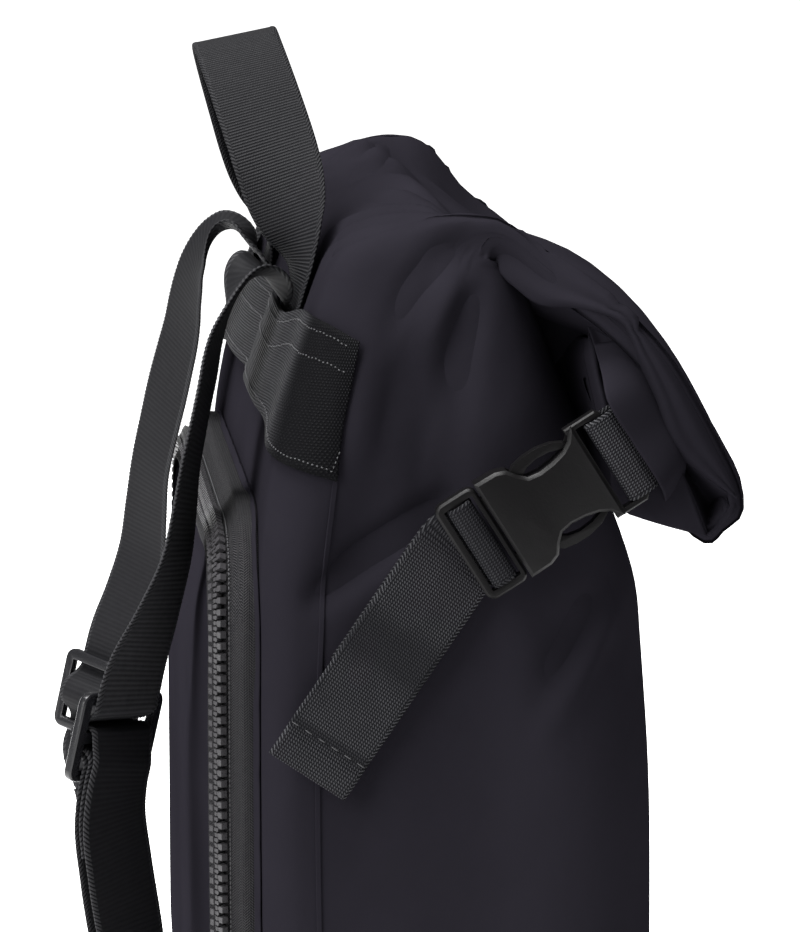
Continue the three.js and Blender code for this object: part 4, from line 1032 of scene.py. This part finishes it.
def swollen(mesh, held):
    """How far air pressure moves each point of a cloth that is held by these weights."""
    scene = bpy.context.scene
    holder = bpy.data.objects.new("padded_door_cloth", mesh)
    scene.collection.objects.link(holder)
    group = holder.vertex_groups.new(name="held")
    for k, weight in enumerate(held):
        group.add([k], float(weight), "REPLACE")
    cloth = holder.modifiers.new("cloth", "CLOTH").settings
    cloth.vertex_group_mass = "held"
    cloth.use_pressure = True
    cloth.uniform_pressure_force = 4.0
    cloth.effector_weights.gravity = 0.0
    cloth.mass, cloth.tension_stiffness, cloth.bending_stiffness = 0.3, 12.0, 1.5
    for number in range(1, CLOTH_FRAMES + 1):
        scene.frame_set(number)
    moved = points_of(evaluated(holder)) - points_of(mesh)
    scene.frame_set(1)
    return moved


def looking(place, aim):
    """The turn that points a lamp or a camera from a place at an aim."""
    return (Vector(aim) - Vector(place)).to_track_quat("-Z", "Y").to_euler()


class BAG_OT_stage(bpy.types.Operator):
    """Adds the floor, the soft studio lights and the camera"""

    bl_idname = "bag.stage"
    bl_label = "Stage"

    def execute(self, context):
        scene = context.scene
        floor = bpy.data.meshes.new("studio_floor")
        corners = ((-1, -1), (1, -1), (1, 1), (-1, 1))
        floor.from_pydata([(x * FLOOR_HALF, y * FLOOR_HALF, 0) for x, y in corners], [], [(0, 1, 2, 3)])
        floor.materials.append(material("studio_floor", studio_floor, scene.bag_colours))
        stage = bpy.data.objects.new("studio_floor", floor)
        scene.collection.objects.link(stage)
        world = scene.world or bpy.data.worlds.new("studio")
        scene.world = world
        world.use_nodes = True
        sky = world.node_tree.nodes["Background"]
        sky.inputs["Color"].default_value = (1.0, 1.0, 1.0, 1.0)
        sky.inputs["Strength"].default_value = SKY_STRENGTH
        for name, (place, size, power) in LIGHTS.items():
            light = bpy.data.lights.new(name, "AREA")
            light.shape, light.size, light.energy, light.spread = "SQUARE", size, power, math.radians(90)
            lamp = bpy.data.objects.new(name, light)
            lamp.location, lamp.rotation_euler = place, looking(place, LIGHTS_AIM)
            scene.collection.objects.link(lamp)
        lens = bpy.data.cameras.new("camera")
        lens.sensor_width, lens.sensor_fit, lens.lens = 36.0, "AUTO", CAMERA_LENS
        lens.clip_end = 60.0
        camera = bpy.data.objects.new("camera", lens)
        camera.location, camera.rotation_euler = CAMERA_PLACE, looking(CAMERA_PLACE, CAMERA_AIM)
        scene.collection.objects.link(camera)
        scene.camera = camera
        scene.view_settings.view_transform = "Standard"
        return {"FINISHED"}


class BAG_OT_body(bpy.types.Operator):
    """Makes the coated fabric body with its roll, folds and side seams"""

    bl_idname = "bag.body"
    bl_label = "Fabric body"

    def execute(self, context):
        sizes, colours = context.scene.bag_sizes, context.scene.bag_colours
        fabric = material("black_fabric", black_fabric, colours)
        mesh = rounded(as_mesh(quad_copy("bag_shell"), "fabric_body"), 2)
        move_points(mesh, settled(points_of(mesh)))
        narrow = [line for sign in SIDES.values() for folds in folds_on(sign) for _, width, line in folds
                  if width < NARROW_FOLD]
        mesh = finer_near(mesh, narrow, FINE_REACH)
        points, normals = points_of(mesh), points_of(mesh, "normal")
        for sign in SIDES.values():
            side, top = folds_on(sign)
            flat = points.copy()
            flat[:, 0] = sign * SIDE_PLANE * MM
            facing = ease(normals[:, 0] * sign / 0.4 - 0.4) * (sign * points[:, 0] > 0.11)
            points = points + (press_folds(flat, normals, side, sizes.fold_depth) - flat) * facing[:, None]
            points = press_folds(points, normals, top, sizes.fold_depth)
        points[:, 2] = np.maximum(points[:, 2], 0.0)
        move_points(mesh, points)
        body = add_piece("fabric_body", smooth_shaded(mesh), fabric, ["bag_shell"])
        cover = tree_over(body)
        for name, sign in SIDES.items():
            add_side_seam(name, sign, cover, fabric)
            add_roll_end(name, sign, cover, fabric)
        return {"FINISHED"}


class BAG_OT_door(bpy.types.Operator):
    """Makes the padded back door, swollen by a cloth simulation"""

    bl_idname = "bag.door"
    bl_label = "Padded door"

    def execute(self, context):
        sizes, colours = context.scene.bag_sizes, context.scene.bag_colours
        copy = node_copy("back_door")
        for _ in range(8):
            long = [e for e in copy.edges if e.calc_length() > 8 * MM]
            if not long:
                break
            bmesh.ops.subdivide_edges(copy, edges=long, cuts=1)
            bmesh.ops.triangulate(copy, faces=copy.faces, quad_method="BEAUTY", ngon_method="BEAUTY")
        mesh = as_mesh(copy, "padded_door")
        rest = points_of(mesh)
        depth = rest[:, 1] - np.interp(rest[:, 2], DOOR_PLANE_Z, DOOR_PLANE_Y)
        free = np.clip((depth - DOOR_HELD) / DOOR_FREE, 0, 1)
        moved = swollen(mesh, 1 - free)
        size = np.linalg.norm(moved, axis=1)
        full = np.percentile(size[free > 0.9], 60)
        moved = moved * (free * sizes.door_swell / np.maximum(np.maximum(size, full), 1e-9))[:, None]
        move_points(mesh, rest + moved)
        mesh = baked(mesh, ("SMOOTH", {"factor": 0.5, "iterations": 2}),
                     ("SUBSURF", {"levels": 1, "render_levels": 1}))
        fabric = material("black_fabric", black_fabric, colours)
        door = add_piece("padded_door", smooth_shaded(mesh), fabric, ["back_door"])
        return {"FINISHED"}


class BAG_OT_zip(bpy.types.Operator):
    """Makes the zip round the door: knit tape, moulded teeth and the cords beside them"""

    bl_idname = "bag.zip"
    bl_label = "Zip"

    def execute(self, context):
        sizes, colours = context.scene.bag_sizes, context.scene.bag_colours
        chain = finer(read_ribbon("zip_chain", (-118, 70, 73), (0, 1, 0)), 1.5 * MM)
        chain["p"] = chain["p"] - chain["n"] * (0.4 * MM)
        count = len(chain["s"])
        tape = dict(chain, half=np.full(count, sizes.tape_half), t=np.full(count, 1.0 * MM))
        inward = np.sign(np.sum(chain["w"] * (np.array([0, 0.07, 0.19]) - chain["p"]), axis=1).sum())
        tape["p"] = chain["p"] - chain["n"] * (1.8 * MM) - chain["w"] * (inward * 1.6 * MM)
        mesh = ribbon_mesh("zip_tape", tape, edge_columns(15), plain_relief)
        knit = material("zip_knit", zip_knit, colours)
        add_piece("zip_knit_tape", mesh, knit, ["zip_tape"])
        cover = tree_over(bpy.data.objects["fabric_body"])
        near = tape["p"] - chain["w"] * (inward * 9.4 * MM) + chain["n"] * (0.75 * MM)
        far = []
        for spot in tape["p"] - chain["w"] * (inward * 12.0 * MM) - chain["n"] * (3.0 * MM):
            found, normal, _, _ = cover.find_nearest(Vector(spot))
            far.append(np.array(found + normal * (0.2 * MM)))
        part = np.linspace(0, 1, 9)[None, :, None]
        grid = near[:, None] * (1 - part) + np.array(far)[:, None] * part
        grid = grid + chain["n"][:, None] * (0.8 * MM * np.sin(math.pi * part ** 0.8))
        add_piece("zip_tape_wing", sheet_mesh("zip_tape_wing", grid, SHEET_THICK), knit)
        plastic = material("zip_plastic", moulded_plastic, colours.teeth, 0.24, 0.03 * MM, 0.1, 0.38)
        tree = tooth_tree()
        line = [(chain["p"], chain["n"])]
        for name, start, turn in (("inner", 0.0, 0.0), ("outer", 0.5, math.pi)):
            row = grown("zip_teeth_" + name, tree, line, Pitch=sizes.tooth_pitch,
                        Start=start * sizes.tooth_pitch, Turn=turn, Material=plastic)
            nodes = ["zip_chain"] if name == "inner" else []
            add_piece("zip_teeth_" + name, row, plastic, nodes)
        cords = [(chain["p"] + chain["w"] * (way * 4.3 * MM) - chain["n"] * (0.95 * MM), chain["n"])
                 for way in (-1, 1)]
        stitches("zip_cord_stitches", cords, gap=0.62, length=0.62)
        return {"FINISHED"}


class BAG_OT_band(bpy.types.Operator):
    """Makes the woven band across the back with its rows of stitches"""

    bl_idname = "bag.band"
    bl_label = "Anchor band"

    def execute(self, context):
        mesh = rounded(as_mesh(quad_copy("anchor_band"), "anchor_band"), 3, 50)
        points = points_of(mesh)
        straight, radius = (BACK_HALF - BACK_RADIUS) * MM, BACK_RADIUS * MM
        out, back = np.abs(points[:, 0]) - straight, points[:, 1] - (BACK_DEPTH - BACK_RADIUS) * MM
        turn = np.arctan2(out, np.maximum(back, 1e-6))
        turn = np.where(back > 0, radius * turn, radius * math.pi / 2 - back)
        reach = straight + np.where(out < 0, out, turn)
        corner = np.empty(len(mesh.loops), int)
        mesh.loops.foreach_get("vertex_index", corner)
        spots = np.stack([np.sign(points[:, 0]) * reach, points[:, 2]], axis=1)
        mesh.uv_layers.new(name="cloth").data.foreach_set("uv", spots[corner].ravel())
        points[:, 1] += 0.3 * np.maximum(0.038 - points[:, 1], 0)
        move_points(mesh, points)
        weave = material("band_weave", band_weave, context.scene.bag_colours)
        band = add_piece("woven_band", smooth_shaded(mesh), weave, ["anchor_band"])
        cover = tree_over(band)
        rows = [[], [], []]
        for s in np.arange(-150.0, 150.1, 1.5):
            start, way = self.outside(s)
            heights = [z for z in np.arange(322.0, 378.0, 0.5)
                       if cover.ray_cast(Vector((*start, z * MM)), Vector(way))[0] is not None]
            if len(heights) < 60:
                continue
            for row, z in zip(rows, (max(heights) - 3.2, max(heights) - 11.5, min(heights) + 3.0)):
                row.append(((*start, z * MM), way))
        lines = [laid_on(cover, *zip(*row), 0.1 * MM) for row in rows]
        stitches("band_stitches", lines, gap=0.62, length=0.45)
        return {"FINISHED"}

    @staticmethod
    def outside(s):
        """A place outside the back at s along the band, and the way in."""
        straight = BACK_HALF - BACK_RADIUS
        turn = min(max(abs(s) - straight, 0.0) / BACK_RADIUS, math.pi / 2)
        over = max(abs(s) - straight - BACK_RADIUS * math.pi / 2, 0.0)
        x = min(abs(s), straight) + BACK_RADIUS * math.sin(turn)
        y = BACK_DEPTH - BACK_RADIUS * (1 - math.cos(turn)) - over
        way = (math.sin(turn), math.cos(turn))
        sign = 1.0 if s > 0 else -1.0
        return ((sign * (x + 40 * way[0]) * MM, (y + 40 * way[1]) * MM), (-sign * way[0], -way[1], 0.0))


class BAG_OT_straps(bpy.types.Operator):
    """Makes the carry handle, the shoulder straps and their lower tabs from webbing"""

    bl_idname = "bag.straps"
    bl_label = "Handle and shoulder straps"

    def execute(self, context):
        sizes, colours = context.scene.bag_sizes, context.scene.bag_colours
        ribbed = material("ribbed_webbing", ribbed_webbing, sizes, colours)
        rows = material("handle_weave", handle_webbing, sizes, colours)
        step = sizes.rib_pitch / 4
        add_webbing("webbing_handle", "carry_handle", ((-62, 45, 341), (0, 1, 0.2)), 0.8 * MM, rows, 11,
                    soft=4.0 * MM)
        for name, sign in SIDES.items():
            strap = add_webbing("webbing_strap_" + name, "shoulder_strap_" + name,
                                ((sign * 51, 50, 341), (0, 1, 0.2)), step, ribbed, 7, 1.0, 2.5 * MM, False)
            ends = [across_row(strap, strap["s"][-1] - back * MM, side)
                    for back in (2.5, 9.0) for side in (-1.0, 1.0)]
            stitches("strap_end_stitches_" + name, ends, gap=0.8, length=0.8)
            add_webbing("webbing_ring_tab_" + name, "ring_tab_" + name, ((sign * 112, 62, 12), (0, 1, 0)),
                        step, ribbed, 7, 1.0)
        return {"FINISHED"}


class BAG_OT_side_straps(bpy.types.Operator):
    """Makes the side straps with their hanging, hemmed tails and the webbing of the roll"""

    bl_idname = "bag.side_straps"
    bl_label = "Side straps"

    def execute(self, context):
        sizes, colours = context.scene.bag_sizes, context.scene.bag_colours
        # The tails get painted shade where they bend away from the light: places along them, widths and
        # depths
        tail = material("tail_webbing", twill_webbing, sizes, colours,
                        [(13.5, 3.0, 0.6), (50.0, 13.0, 0.6), (100.0, 22.0, 0.55)])
        twill = material("twill_webbing", twill_webbing, sizes, colours, [])
        for name, sign in SIDES.items():
            strap = add_webbing("webbing_side_strap_" + name, "side_strap_" + name,
                                ((sign * 148, 45, 225), (sign, 0, 0), (0, -1, 0)), 0.7 * MM, tail, 9)
            stitches("hem_stitches_" + name, [across_row(strap, 12.5 * MM)], gap=1.8, length=1.6)
            add_webbing("webbing_roll_tab_" + name, "roll_tab_" + name,
                        ((sign * 140, -75, 350), (0, sign, -0.6 * sign), (0, 0, 1)), 0.5 * MM, twill, 9)
        return {"FINISHED"}


class BAG_OT_fittings(bpy.types.Operator):
    """Makes the moulded buckles, sliders and rings with rounded edges"""

    bl_idname = "bag.fittings"
    bl_label = "Buckles, sliders and rings"

    def execute(self, context):
        sizes, colours = context.scene.bag_sizes, context.scene.bag_colours
        acetal = material("buckle_acetal", moulded_plastic, colours.buckle, 0.30, 0.05 * MM, 0.08, 0.1)
        polish = material("polished_plastic", moulded_plastic, colours.slider, 0.16, 0.02 * MM, 0.1, 0.4)
        bevel = ("BEVEL", {"width": sizes.edge_round, "segments": 3, "limit_method": "ANGLE",
                           "angle_limit": math.radians(32), "use_clamp_overlap": True})
        for kinds, slot, plastic in ((("buckle_female_", "buckle_male_"), "buckle_plastic", acetal),
                                     (("strap_slider_", "strap_ring_"), "slider_plastic", polish)):
            for node in (kind + name for kind in kinds for name in SIDES):
                copy = node_copy(node)
                bmesh.ops.dissolve_limit(copy, angle_limit=math.radians(1.0), verts=copy.verts,
                                         edges=copy.edges)
                mesh = smooth_shaded(baked(as_mesh(copy, node), bevel))
                mesh.set_sharp_from_angle(angle=math.radians(40))
                add_piece("moulded_" + node, mesh, plastic, [node])
        return {"FINISHED"}


class BAG_PT_panel(bpy.types.Panel):
    """Lists what makes the bag"""

    bl_idname = "BAG_PT_panel"
    bl_label = "Backpack"
    bl_space_type = "VIEW_3D"
    bl_region_type = "UI"
    bl_category = "Backpack"

    def draw(self, context):
        for step in STEPS:
            self.layout.operator(step.bl_idname)
        for group in (context.scene.bag_sizes, context.scene.bag_colours):
            for key in group.__annotations__:
                self.layout.prop(group, key)


STEPS = (BAG_OT_stage, BAG_OT_body, BAG_OT_door, BAG_OT_zip, BAG_OT_band, BAG_OT_straps, BAG_OT_side_straps,
         BAG_OT_fittings)
CLASSES = (BagSizes, BagColours) + STEPS + (BAG_PT_panel,)


def register():
    """Registers the classes and puts the properties on the scene."""
    for kind in CLASSES:
        bpy.utils.register_class(kind)
    bpy.types.Scene.bag_sizes = bpy.props.PointerProperty(type=BagSizes)
    bpy.types.Scene.bag_colours = bpy.props.PointerProperty(type=BagColours)


def unregister():
    """Takes the properties and the classes away again."""
    del bpy.types.Scene.bag_colours
    del bpy.types.Scene.bag_sizes
    for kind in reversed(CLASSES):
        bpy.utils.unregister_class(kind)


def main():
    """Makes the bag."""
    register()
    for name in ("stage", "body", "door", "zip", "band", "straps", "side_straps", "fittings"):
        getattr(bpy.ops.bag, name)()


if __name__ == "__main__":
    main()
